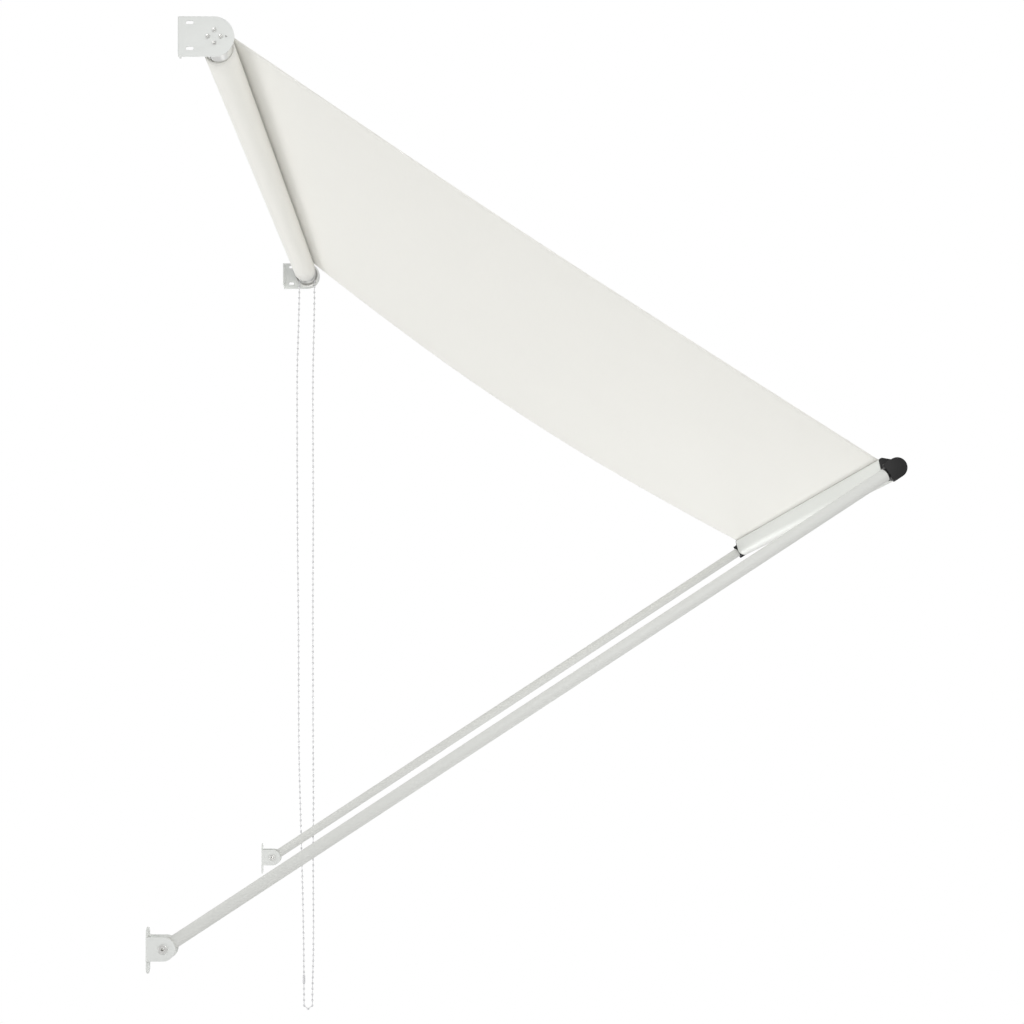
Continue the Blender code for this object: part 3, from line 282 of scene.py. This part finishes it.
def beads_tree():
    """Balls every pitch along a line, with the thin link cord between them."""
    tree, given, result = node_tree(
        "beads_on_cord",
        [
            ("Pitch", "NodeSocketFloat", BALL_PITCH),
            ("Ball radius", "NodeSocketFloat", BALL_RADIUS),
            ("Cord radius", "NodeSocketFloat", LINK_RADIUS),
            ("Ball stretch", "NodeSocketVector", (1.0, 1.0, BALL_STRETCH)),
            ("Facets", "NodeSocketInt", BALL_FACETS),
            ("Material", "NodeSocketMaterial", None),
        ],
    )
    nodes, links = tree.nodes, tree.links
    stepped = nodes.new("GeometryNodeResampleCurve")
    stepped.mode = "LENGTH"
    links.new(given.outputs["Geometry"], stepped.inputs["Curve"])
    links.new(given.outputs["Pitch"], stepped.inputs["Length"])
    ball = nodes.new("GeometryNodeMeshUVSphere")
    ball.inputs["Rings"].default_value = BALL_RINGS
    links.new(given.outputs["Facets"], ball.inputs["Segments"])
    links.new(given.outputs["Ball radius"], ball.inputs["Radius"])
    smooth = nodes.new("GeometryNodeSetShadeSmooth")
    links.new(ball.outputs["Mesh"], smooth.inputs["Geometry"])
    placed = nodes.new("GeometryNodeInstanceOnPoints")
    heading = nodes.new("GeometryNodeInputTangent")
    facing = nodes.new("FunctionNodeAlignEulerToVector")
    facing.axis = "Z"
    links.new(heading.outputs["Tangent"], facing.inputs["Vector"])
    links.new(facing.outputs["Rotation"], placed.inputs["Rotation"])
    links.new(given.outputs["Ball stretch"], placed.inputs["Scale"])
    links.new(stepped.outputs["Curve"], placed.inputs["Points"])
    links.new(smooth.outputs["Geometry"], placed.inputs["Instance"])
    round_line = nodes.new("GeometryNodeCurvePrimitiveCircle")
    round_line.inputs["Resolution"].default_value = LINK_FACETS
    links.new(given.outputs["Cord radius"], round_line.inputs["Radius"])
    cord = nodes.new("GeometryNodeCurveToMesh")
    cord.inputs["Fill Caps"].default_value = True
    links.new(stepped.outputs["Curve"], cord.inputs["Curve"])
    links.new(round_line.outputs["Curve"], cord.inputs["Profile Curve"])
    both = nodes.new("GeometryNodeJoinGeometry")
    links.new(placed.outputs["Instances"], both.inputs["Geometry"])
    links.new(cord.outputs["Mesh"], both.inputs["Geometry"])
    real = nodes.new("GeometryNodeRealizeInstances")
    links.new(both.outputs["Geometry"], real.inputs["Geometry"])
    painted = nodes.new("GeometryNodeSetMaterial")
    links.new(real.outputs["Geometry"], painted.inputs["Geometry"])
    links.new(given.outputs["Material"], painted.inputs["Material"])
    links.new(painted.outputs["Geometry"], result.inputs["Geometry"])
    return tree


route = chain_route()
beads_on_cord = beads_tree()
chain = grow(line_object("ball_chain", route), beads_on_cord, {"Material": chain_white})
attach(chain, "base")
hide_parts("bead_chain")


# Chain connector
# The two ends of the chain meet in a small split sleeve that snaps over the last balls,
# low on the strand nearer the wall. Its nose and waist are shares of its radius, by
# distance from the end and by share of its length.
SLEEVE_RADIUS = 0.0029
SLEEVE_LENGTH = 0.018
SLEEVE_START = 0.004
SLEEVE_NOSE = [(0.0, 0.55), (0.0006, 0.82), (0.0016, 1.0)]
SLEEVE_WAIST = [(0.42, 1.0), (0.46, 0.9)]
SMOOTH_BELOW = math.radians(32)


def lathe(name, profile, origin, along, segments=64, closed=False):
    """A body of revolution about an axis; the profile is (distance along, radius)."""
    along = Vector(along).normalized()
    side = along.orthogonal().normalized()
    other = along.cross(side)
    work = bmesh.new()
    rings = []
    for distance, radius in profile:
        centre = Vector(origin) + along * distance
        if radius == 0:
            rings.append([work.verts.new(centre)] * segments)
            continue
        ring = []
        for i in range(segments):
            turn = 2 * math.pi * i / segments
            outwards = side * math.cos(turn) + other * math.sin(turn)
            ring.append(work.verts.new(centre + outwards * radius))
        rings.append(ring)
    pairs = list(zip(rings, rings[1:]))
    if closed:
        pairs.append((rings[-1], rings[0]))
    for first, second in pairs:
        for i in range(segments):
            j = (i + 1) % segments
            corners = [first[i], first[j], second[j], second[i]]
            work.faces.new(list(dict.fromkeys(corners)))
    bmesh.ops.recalc_face_normals(work, faces=work.faces)
    mesh = bpy.data.meshes.new(name)
    work.to_mesh(mesh)
    work.free()
    return shown(name, mesh)


def dress(obj, material, body, node):
    """Gives a piece its finish, smooth shading, the body it rides on and the node it replaces."""
    obj.data.materials.clear()
    obj.data.materials.append(material)
    obj.data.shade_smooth()
    obj.data.set_sharp_from_angle(angle=SMOOTH_BELOW)
    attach(obj, body)
    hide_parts(node)


low, high = (Vector((CHAIN_X, *REAR_STRAND[place])) for place in (-1, -2))
sleeve_way = (high - low).normalized()
near_half = [(distance, SLEEVE_RADIUS * share) for distance, share in SLEEVE_NOSE]
near_half += [(SLEEVE_LENGTH * place, SLEEVE_RADIUS * share) for place, share in SLEEVE_WAIST]
far_half = [(SLEEVE_LENGTH - distance, radius) for distance, radius in reversed(near_half)]
connector = lathe(
    "snap_sleeve", [*near_half, *far_half, (SLEEVE_LENGTH, LINK_RADIUS), (0.0, LINK_RADIUS)],
    low + sleeve_way * SLEEVE_START, sleeve_way, segments=24, closed=True,
)
dress(connector, chain_white, "base", "chain_connector")

# Studio
# A pale surround and five large, weak lamps light the awning softly: one beside the viewer,
# one on the wall's side that brightens the cloth from below, and three that fill in. The
# surround and the floor under the chain are plain white to the eye.
FLOOR_Z = -1.66
FLOOR_RADIUS = 9.0
SURROUND_LIGHT = 0.64
MIDDLE = (0.5, -0.5, -0.3)
LAMPS = (
    ("lamp_beside_viewer", (-1.75, -0.6, -0.3), (0.0, -0.4, -0.4), 0.9, 12),
    ("lamp_under_cloth", (0.5, -0.8, -1.58), (0.5, -0.3, -0.1), 1.2, 3),
    ("lamp_low_far", (3.0, -0.6, -1.3), MIDDLE, 0.8, 10),
    ("lamp_wall_side", (0.5, 2.2, -1.3), MIDDLE, 1.8, 29),
    ("lamp_overhead", (0.4, -1.2, 2.2), MIDDLE, 1.8, 6),
)

world = bpy.data.worlds.new("studio")
bpy.context.scene.world = world
world.use_nodes = True
sky = world.node_tree
ambient = sky.nodes["Background"]
ambient.inputs["Color"].default_value = (1, 1, 1, 1)
ambient.inputs["Strength"].default_value = SURROUND_LIGHT
shown_white = sky.nodes.new("ShaderNodeBackground")
shown_white.inputs["Color"].default_value = (1, 1, 1, 1)
shown_white.inputs["Strength"].default_value = 1.0
sky_rays = sky.nodes.new("ShaderNodeLightPath")
sky_mix = sky.nodes.new("ShaderNodeMixShader")
sky.links.new(sky_rays.outputs["Is Camera Ray"], sky_mix.inputs["Fac"])
sky.links.new(ambient.outputs[0], sky_mix.inputs[1])
sky.links.new(shown_white.outputs[0], sky_mix.inputs[2])
sky.links.new(sky_mix.outputs[0], sky.nodes["World Output"].inputs["Surface"])

for name, place, aim, size, watts in LAMPS:
    lamp_data = bpy.data.lights.new(name, "AREA")
    lamp_data.shape = "DISK"
    lamp_data.size = size
    lamp_data.energy = watts
    lamp = shown(name, lamp_data)
    lamp.location = place
    lamp.rotation_euler = (Vector(aim) - Vector(place)).to_track_quat("-Z", "Y").to_euler()

floor_centre = (MIDDLE[0], MIDDLE[1], FLOOR_Z)
floor = lathe("floor", [(0.0, 0.0), (0.0, FLOOR_RADIUS)], floor_centre, (0, 0, 1))
floor_board = Board("floor_white")
floor_board.surface(Base_Color=(0.85, 0.85, 0.85), Roughness=0.9)
floor_glow = floor_board.nodes.new("ShaderNodeEmission")
floor_glow.inputs["Strength"].default_value = 1.0
floor_mix = floor_board.nodes.new("ShaderNodeMixShader")
floor_rays = floor_board.nodes.new("ShaderNodeLightPath")
floor_board.links.new(floor_rays.outputs["Is Camera Ray"], floor_mix.inputs["Fac"])
floor_board.links.new(floor_board.shader.outputs[0], floor_mix.inputs[1])
floor_board.links.new(floor_glow.outputs[0], floor_mix.inputs[2])
floor_board.links.new(floor_mix.outputs[0], floor_board.nodes["Material Output"].inputs["Surface"])
floor.data.materials.append(floor_board.material)


# Painted brackets
# Bent from 2 mm steel sheet and powder coated white: the upper pair carry the roller, the
# lower pair fold round the arms' feet. Their edges are rounded by the coating.
MERGE_DISTANCE = 0.000002
FLAT_ANGLE = math.radians(0.5)
ROUNDING_STEPS = 2


def powder_coat(name, colour):
    """White powder coat: satin, with a fine orange peel and a barely uneven tone."""
    board = Board(name)
    tone = board.noise(7, 3)
    peel = board.noise(1500, 1)
    flow = board.noise(260, 2)
    board.surface(
        Base_Color=board.mix(tone, tuple(c * 0.965 for c in colour), colour),
        Roughness=flow * 0.1 + 0.5,
        Normal=board.bump(peel * 0.4 + flow, 0.000006),
    )
    return board.material


def refined(node, name, edge, angle=40):
    """A copy of a node's solid, its faces merged and its sharp edges rounded by a width."""
    source = frame["nodes"][node]
    mesh = source.data.copy()
    mesh.name = name
    work = bmesh.new()
    work.from_mesh(mesh)
    bmesh.ops.remove_doubles(work, verts=work.verts, dist=MERGE_DISTANCE)
    bmesh.ops.dissolve_limit(
        work, angle_limit=FLAT_ANGLE, verts=work.verts, edges=work.edges,
        use_dissolve_boundaries=False,
    )
    sharp = [
        e for e in work.edges if e.is_manifold and e.calc_face_angle(0.0) > math.radians(angle)
    ]
    if edge:
        bmesh.ops.bevel(
            work, geom=sharp, offset=edge, offset_type="OFFSET", segments=ROUNDING_STEPS,
            profile=0.5, affect="EDGES", clamp_overlap=True,
        )
    bmesh.ops.triangulate(work, faces=[f for f in work.faces if len(f.verts) > 4])
    work.to_mesh(mesh)
    work.free()
    return shown(name, mesh)


bracket_white = powder_coat("bracket_powder_coat", linear(231, 233, 230))
for side in ("left", "right"):
    for level in ("upper", "lower"):
        plate = refined(f"{level}_{side}_bracket", f"{level}_{side}_plate", 0.0004)
        dress(plate, bracket_white, "base", f"{level}_{side}_bracket")


# Rivets, pin, washer and springs
# Zinc-plated steel, turned or formed and dulled a little by the plating: the two pivot
# rivets, the pin with its four pegs, and the clutch's springs, washer and screw.
def zinc_plate(name):
    """Zinc plating: bright metal with a fine haze."""
    board = Board(name)
    haze = board.noise(240, 3)
    board.surface(
        Base_Color=board.mix(haze, (0.74, 0.74, 0.72), (0.86, 0.86, 0.83)),
        Metallic=1.0,
        Roughness=haze * 0.2 + 0.24,
        Normal=board.bump(board.noise(1200, 2), 0.00002),
    )
    return board.material


zinc = zinc_plate("zinc_plating")
for side in ("left", "right"):
    rivet = refined(f"{side}_pivot_rivet", f"{side}_hollow_rivet", 0.0002)
    dress(rivet, zinc, "base", f"{side}_pivot_rivet")
for node, name, body in (
    ("idle_pin", "riveted_idle_pin", "base"),
    ("spindle_washer", "clutch_washer", "base"),
    ("spindle_screw", "clutch_screw", "base"),
    ("clutch_spring_1", "wrap_spring_outer", "roller"),
    ("clutch_spring_2", "wrap_spring_inner", "roller"),
):
    dress(refined(node, name, 0.0), zinc, body, node)


# Clutch housing and chain wheel
# Off-white moulded parts at the far end: a cup riveted to the bracket, open below for the
# two strands, and the pocketed wheel inside it.
clutch_white = pearl_plastic("clutch_plastic", linear(236, 236, 232))
for node, name, edge, body in (
    ("clutch_housing", "clutch_cup", 0.0003, "base"),
    ("chain_wheel", "pocket_wheel", 0.0, "roller"),
):
    dress(refined(node, name, edge), clutch_white, body, node)


# Plugs and arm feet
# Light grey moulded plastic, with the fine grain of the mould: the two plugs in the roller
# tube and the eyes in the arms' lower ends.
def moulded(name, colour, grain, roughness):
    """Moulded plastic with an even spark-eroded grain."""
    board = Board(name)
    speckle = board.noise(grain, 2)
    board.surface(
        Base_Color=board.mix(board.noise(30, 2), tuple(c * 0.9 for c in colour), colour),
        Roughness=speckle * 0.16 + roughness,
        Normal=board.bump(speckle, 0.00006),
    )
    return board.material


grey = moulded("grey_moulding", linear(232, 232, 228), 1100, 0.42)
for node, name, body in (
    ("idle_plug", "idle_end_plug", "roller"),
    ("drive_plug", "drive_end_plug", "roller"),
    ("left_arm_foot", "left_arm_eye", "left_arm"),
    ("right_arm_foot", "right_arm_eye", "right_arm"),
):
    dress(refined(node, name, 0.0004), grey, body, node)


# Roller tube
# A drawn aluminium tube with a keyhole groove that holds the cloth's rod. It is left
# mill-finished, since the cloth covers all but its ends.
def drawn_aluminium(name):
    """Mill-finish aluminium with fine draw lines along the tube."""
    board = Board(name)
    lines = board.noise(90, 2, stretch=(0.4, 14.0, 14.0))
    board.surface(
        Base_Color=board.mix(lines, (0.80, 0.80, 0.79), (0.90, 0.90, 0.88)),
        Metallic=1.0,
        Roughness=lines * 0.18 + 0.26,
        Normal=board.bump(lines, 0.00003),
    )
    return board.material


dress(
    refined("roller_tube", "grooved_tube", 0.0002), drawn_aluminium("mill_aluminium"),
    "roller", "roller_tube",
)

# Arm tubes
# Straight 18 mm tubes, powder coated, pushed over the foot below and the knuckle above. The
# left one stops a little short of its knuckle, so that the black plug shows as a thin rim.
ARM_RADIUS = 0.009
ARM_BORE = 0.0075
FOOT_SHOULDER = 0.0143
LEFT_HEAD_SHOULDER = 0.0158
RIGHT_HEAD_SHOULDER = 0.0139
LIP = 0.0004

arm_white = powder_coat("arm_powder_coat", linear(219, 220, 216))
knuckle_joint = Vector(JOINTS["rail_tilt"]["pos_m"])
for side, joint, head_shoulder in (
    ("left", "arm_swing", LEFT_HEAD_SHOULDER),
    ("right", "right_arm_swing", RIGHT_HEAD_SHOULDER),
):
    foot = Vector(JOINTS[joint]["pos_m"])
    head = Vector((foot.x, knuckle_joint.y, knuckle_joint.z))
    length = (head - foot).length
    start, end = FOOT_SHOULDER, length - head_shoulder
    tube_profile = [
        (start, ARM_BORE), (start, ARM_RADIUS - LIP), (start + LIP, ARM_RADIUS),
        (end - LIP, ARM_RADIUS), (end, ARM_RADIUS - LIP), (end, ARM_BORE),
    ]
    tube = lathe(f"{side}_tube", tube_profile, foot, head - foot, closed=True)
    dress(tube, arm_white, f"{side}_arm", f"{side}_arm_tube")

# Knuckles and rail caps
# Black moulded nylon: the knuckle plugs into the arm's upper end, and the cap that closes
# the rail turns in it on a short pin.
nylon = moulded("black_nylon", linear(9, 9, 9), 900, 0.55)
for side in ("left", "right"):
    dress(
        refined(f"{side}_knuckle", f"{side}_nylon_knuckle", 0.0004, angle=50),
        nylon, f"{side}_arm", f"{side}_knuckle",
    )
    dress(
        refined(f"{side}_rail_cap", f"{side}_nylon_cap", 0.0005),
        nylon, "front_bar", f"{side}_rail_cap",
    )

# Front rail
# An extruded aluminium profile, powder coated, whose fin holds the rod in the cloth's hem.
# It weighs the cloth down and joins the two arms.
rail_white = powder_coat("rail_powder_coat", linear(229, 231, 226))
dress(
    refined("front_rail", "extruded_rail", 0.0002),
    rail_white, "front_bar", "front_rail",
)


# Cloth
# Cream acrylic canvas, one piece: a rod in its hem sits in the roller's groove, the spare
# turns stay on the tube, and the rest runs down to the rail, slack towards the far side.
CLOTH_COLOUR = linear(240, 239, 233)
THREAD = 0.0007
CLOTH_LEFT = 0.0185
CLOTH_RIGHT = 0.9475
CLOTH_THICKNESS = 0.0006
ROLL_INNER = 0.0203
ROLL_OUTER = 0.0231
LEFT_SAG = 0.0056
RIGHT_SAG = 0.028
SAG_SPREAD = 1.3
RIPPLE = 0.0007
RIPPLE_TURN_ACROSS = 9
RIPPLE_TURN_ALONG = 5
ROWS = 130
COLUMNS = 90
FIN_ANGLE = math.radians(33.05)
FIN_REACH = 0.0233
FIN_LIFT = 0.0034


def canvas(name):
    """Plain-woven canvas: threads over and under each other, drawn on the cloth's own lengths, with painted shade
    between them.
    """
    board = Board(name)
    across = board.add("ShaderNodeSeparateXYZ", values=[board.place("UV")], output=0)
    along = board.add("ShaderNodeSeparateXYZ", values=[board.place("UV")], output=1)
    warp, weft = across / THREAD, along / THREAD
    over = (warp.math("FLOOR") + weft.math("FLOOR")).math("MODULO", 2.0)
    rise_warp = (warp * math.pi).math("SINE").math("ABSOLUTE")
    rise_weft = (weft * math.pi).math("SINE").math("ABSOLUTE")
    height = rise_warp * over + rise_weft * (1 - over)
    slub = board.noise(420, 2, board.place("UV"), (1.0, 0.04, 1.0))
    slub += board.noise(420, 2, board.place("UV"), (0.04, 1.0, 1.0))
    cloud = board.noise(5, 2)
    # Where the threads' height is low, between the crowns, the colour is darker: painted shade in the weave's
    # gaps. The slubs and the cloud are the yarn's own uneven tone.
    share = height * 0.25 + slub * 0.3 + cloud * 0.2
    board.surface(
        Base_Color=board.mix(share, tuple(c * 0.93 for c in CLOTH_COLOUR), CLOTH_COLOUR),
        Roughness=0.82,
        Sheen_Weight=0.15,
        Sheen_Roughness=0.5,
        Normal=board.bump(height + slub * 0.3, 0.00007, 0.5),
    )
    return board.material


def cloth_surface(name, rows, columns, place, size):
    """A grid of cloth; place(across, along) gives a point, size its flat lengths for the weave."""
    work = bmesh.new()
    weave = work.loops.layers.uv.new("weave")
    grid = [
        [work.verts.new(place(i / columns, j / rows)) for i in range(columns + 1)]
        for j in range(rows + 1)
    ]
    for j in range(rows):
        for i in range(columns):
            corners = ((i, j), (i + 1, j), (i + 1, j + 1), (i, j + 1))
            face = work.faces.new([grid[b][a] for a, b in corners])
            face.smooth = True
            for loop, (a, b) in zip(face.loops, corners):
                loop[weave].uv = (a / columns * size[0], b / rows * size[1])
    mesh = bpy.data.meshes.new(name)
    work.to_mesh(mesh)
    work.free()
    return shown(name, mesh)


def thicken(obj, thickness):
    """Gives a cloth surface its thickness, half on each side."""
    solid = obj.modifiers.new("Thickness", "SOLIDIFY")
    solid.thickness = thickness
    solid.offset = 0.0
    mesh = baked(obj)
    obj.modifiers.clear()
    obj.data = mesh


rail_centre = Vector((knuckle_joint.y, knuckle_joint.z))
fin_way = Vector((math.cos(FIN_ANGLE), math.sin(FIN_ANGLE)))
fin_rise = Vector((-math.sin(FIN_ANGLE), math.cos(FIN_ANGLE)))
hem_point = rail_centre + fin_way * FIN_REACH + fin_rise * FIN_LIFT
chord = hem_point - ROLLER_CENTRE
tilt = math.atan2(-chord[1], -chord[0]) + math.asin(ROLL_OUTER / chord.length)
cloth_up = Vector((-math.sin(tilt), math.cos(tilt)))
leave_point = ROLLER_CENTRE + cloth_up * (ROLL_OUTER - CLOTH_THICKNESS / 2)
cloth_length = (hem_point - leave_point).length
cloth_width = CLOTH_RIGHT - CLOTH_LEFT


def canopy_place(across, along, lift=0.0):
    """A point of the canopy, from the left edge across and from the roller along."""
    slack = math.sin(math.pi * along)
    depth = (LEFT_SAG + (RIGHT_SAG - LEFT_SAG) * across**SAG_SPREAD) * slack
    ripple = RIPPLE * slack * math.sin(RIPPLE_TURN_ACROSS * across + RIPPLE_TURN_ALONG * along)
    place = leave_point.lerp(hem_point, along) + cloth_up * (lift - depth - ripple)
    return Vector((CLOTH_LEFT + cloth_width * across, place[0], place[1]))


canvas_cream = canvas("cream_canvas")
canopy = cloth_surface("canopy_sheet", ROWS, COLUMNS, canopy_place, (cloth_width, cloth_length))
thicken(canopy, CLOTH_THICKNESS)
canopy.data.materials.append(canvas_cream)
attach(canopy, "canopy")
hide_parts("canopy_cloth")

# Side hems
# Both long edges of the canopy are folded back over its top and sewn with one line of
# lockstitch, whose thread shows on both faces as a row of short dashes.
HEM_WIDTH = 0.016
HEM_COLUMNS = 2
FOLD_THICKNESS = 0.96 * CLOTH_THICKNESS
STITCH_INSET = 0.012
STITCH_FROM = 0.03
STITCH_RUN = 0.96
STITCH_POINTS = 201
STITCH_PITCH = 0.0042
THREAD_RADIUS = 0.0003
THREAD_FACETS = 6
HIDDEN_THREAD_RADIUS = 0.3 * THREAD_RADIUS
STITCH_STRETCH = 5.4
hem_share = HEM_WIDTH / cloth_width
stitch_share = STITCH_INSET / cloth_width


def fold_place(first):
    """The folded strip's own places, on the canopy's top from a given share across."""
    return lambda across, along: canopy_place(first + hem_share * across, along, CLOTH_THICKNESS)


hems = []
for side, first, line in (
    ("left", 0.0, stitch_share),
    ("right", 1 - hem_share, 1 - stitch_share),
):
    hem_size = (HEM_WIDTH, cloth_length)
    fold = cloth_surface(f"{side}_side_hem", ROWS, HEM_COLUMNS, fold_place(first), hem_size)
    thicken(fold, FOLD_THICKNESS)
    fold.data.materials.append(canvas_cream)
    hems.append(fold)
    for face, lift in (("under", -CLOTH_THICKNESS / 2), ("upper", CLOTH_THICKNESS * 3 / 2)):
        shares = [STITCH_FROM + STITCH_RUN * i / (STITCH_POINTS - 1) for i in range(STITCH_POINTS)]
        run = [canopy_place(line, share, lift) for share in shares]
        hems.append(grow(line_object(f"{side}_{face}_stitches", run), beads_on_cord, {
            "Material": canvas_cream,
            "Pitch": STITCH_PITCH,
            "Ball radius": THREAD_RADIUS,
            "Ball stretch": (1.0, 1.0, STITCH_STRETCH),
            "Cord radius": HIDDEN_THREAD_RADIUS,
            "Facets": THREAD_FACETS,
        }))
for piece in hems:
    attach(piece, "canopy")

# Spare turns
# What is left of the cloth on the tube: a spiral of three turns that ends where the canopy
# leaves it, where its start and its end make four layers.
ROLL_LAYERS = 4
ROLL_TURNS = ROLL_LAYERS - 1
STEPS_PER_TURN = 64
ROLL_COLUMNS = 24
roll_pitch = (ROLL_OUTER - ROLL_INNER) / ROLL_LAYERS
roll_sweep = 2 * math.pi * ROLL_TURNS
leave_turn = math.pi / 2 + tilt


def roll_place(across, along):
    """A point of the spare turns, wound from the tube out to where the canopy leaves."""
    radius = ROLL_INNER + CLOTH_THICKNESS / 2 + roll_pitch * ROLL_TURNS * along
    turn = leave_turn + roll_sweep * along
    place = ROLLER_CENTRE + Vector((math.cos(turn), math.sin(turn))) * radius
    return Vector((CLOTH_LEFT + cloth_width * across, place[0], place[1]))


roll_length = roll_sweep * (ROLL_INNER + ROLL_OUTER) / 2
roll = cloth_surface(
    "cloth_turns", STEPS_PER_TURN * ROLL_TURNS, ROLL_COLUMNS, roll_place,
    (cloth_width, roll_length),
)
thicken(roll, CLOTH_THICKNESS)
roll.data.materials.append(canvas_cream)
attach(roll, "roller")
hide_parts("cloth_roll")

# Hem rods
# Round plastic rods sewn into the cloth's two end hems. One sits in the tube's groove and
# the other in the rail's, so the cloth can slide in from the end but not pull out.
rod_plastic = moulded("rod_plastic", linear(214, 212, 204), 700, 0.5)
for node, name, body in (
    ("roller_keder", "roller_hem_rod", "roller"),
    ("hem_keder", "rail_hem_rod", "front_bar"),
):
    dress(refined(node, name, 0.0), rod_plastic, body, node)

# How the canopy follows the arms
# It turns about the roller with its own body. How far it must gather towards the roller for its hem to meet the
# rail at both ends of the swing is worked out here, and each piece gets a mesh of its own.
swing = math.radians(JOINTS["arm_swing"]["range_deg"][1])
turn_share = next(
    c["ratio"] for c in frame["record"]["behaviour"]["couplings"] if c["joint"] == "canopy_swing"
)
pivot = Vector(JOINTS["arm_swing"]["pos_m"][1:])


def raised(vector, angle):
    """A side-plane vector turned the way the arms rise."""
    c, s = math.cos(angle), math.sin(angle)
    return Vector((c * vector[0] + s * vector[1], -s * vector[0] + c * vector[1]))


hem_up = pivot + raised(rail_centre - pivot, swing) + (hem_point - rail_centre)
hem_seen = ROLLER_CENTRE + raised(hem_up - ROLLER_CENTRE, -turn_share * swing)
gather = hem_point - hem_seen
gather_way = gather.normalized()
reach = (hem_point - leave_point).dot(gather_way)
keep = 1 - gather.length / reach
for piece in (canopy, *hems):
    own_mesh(piece)
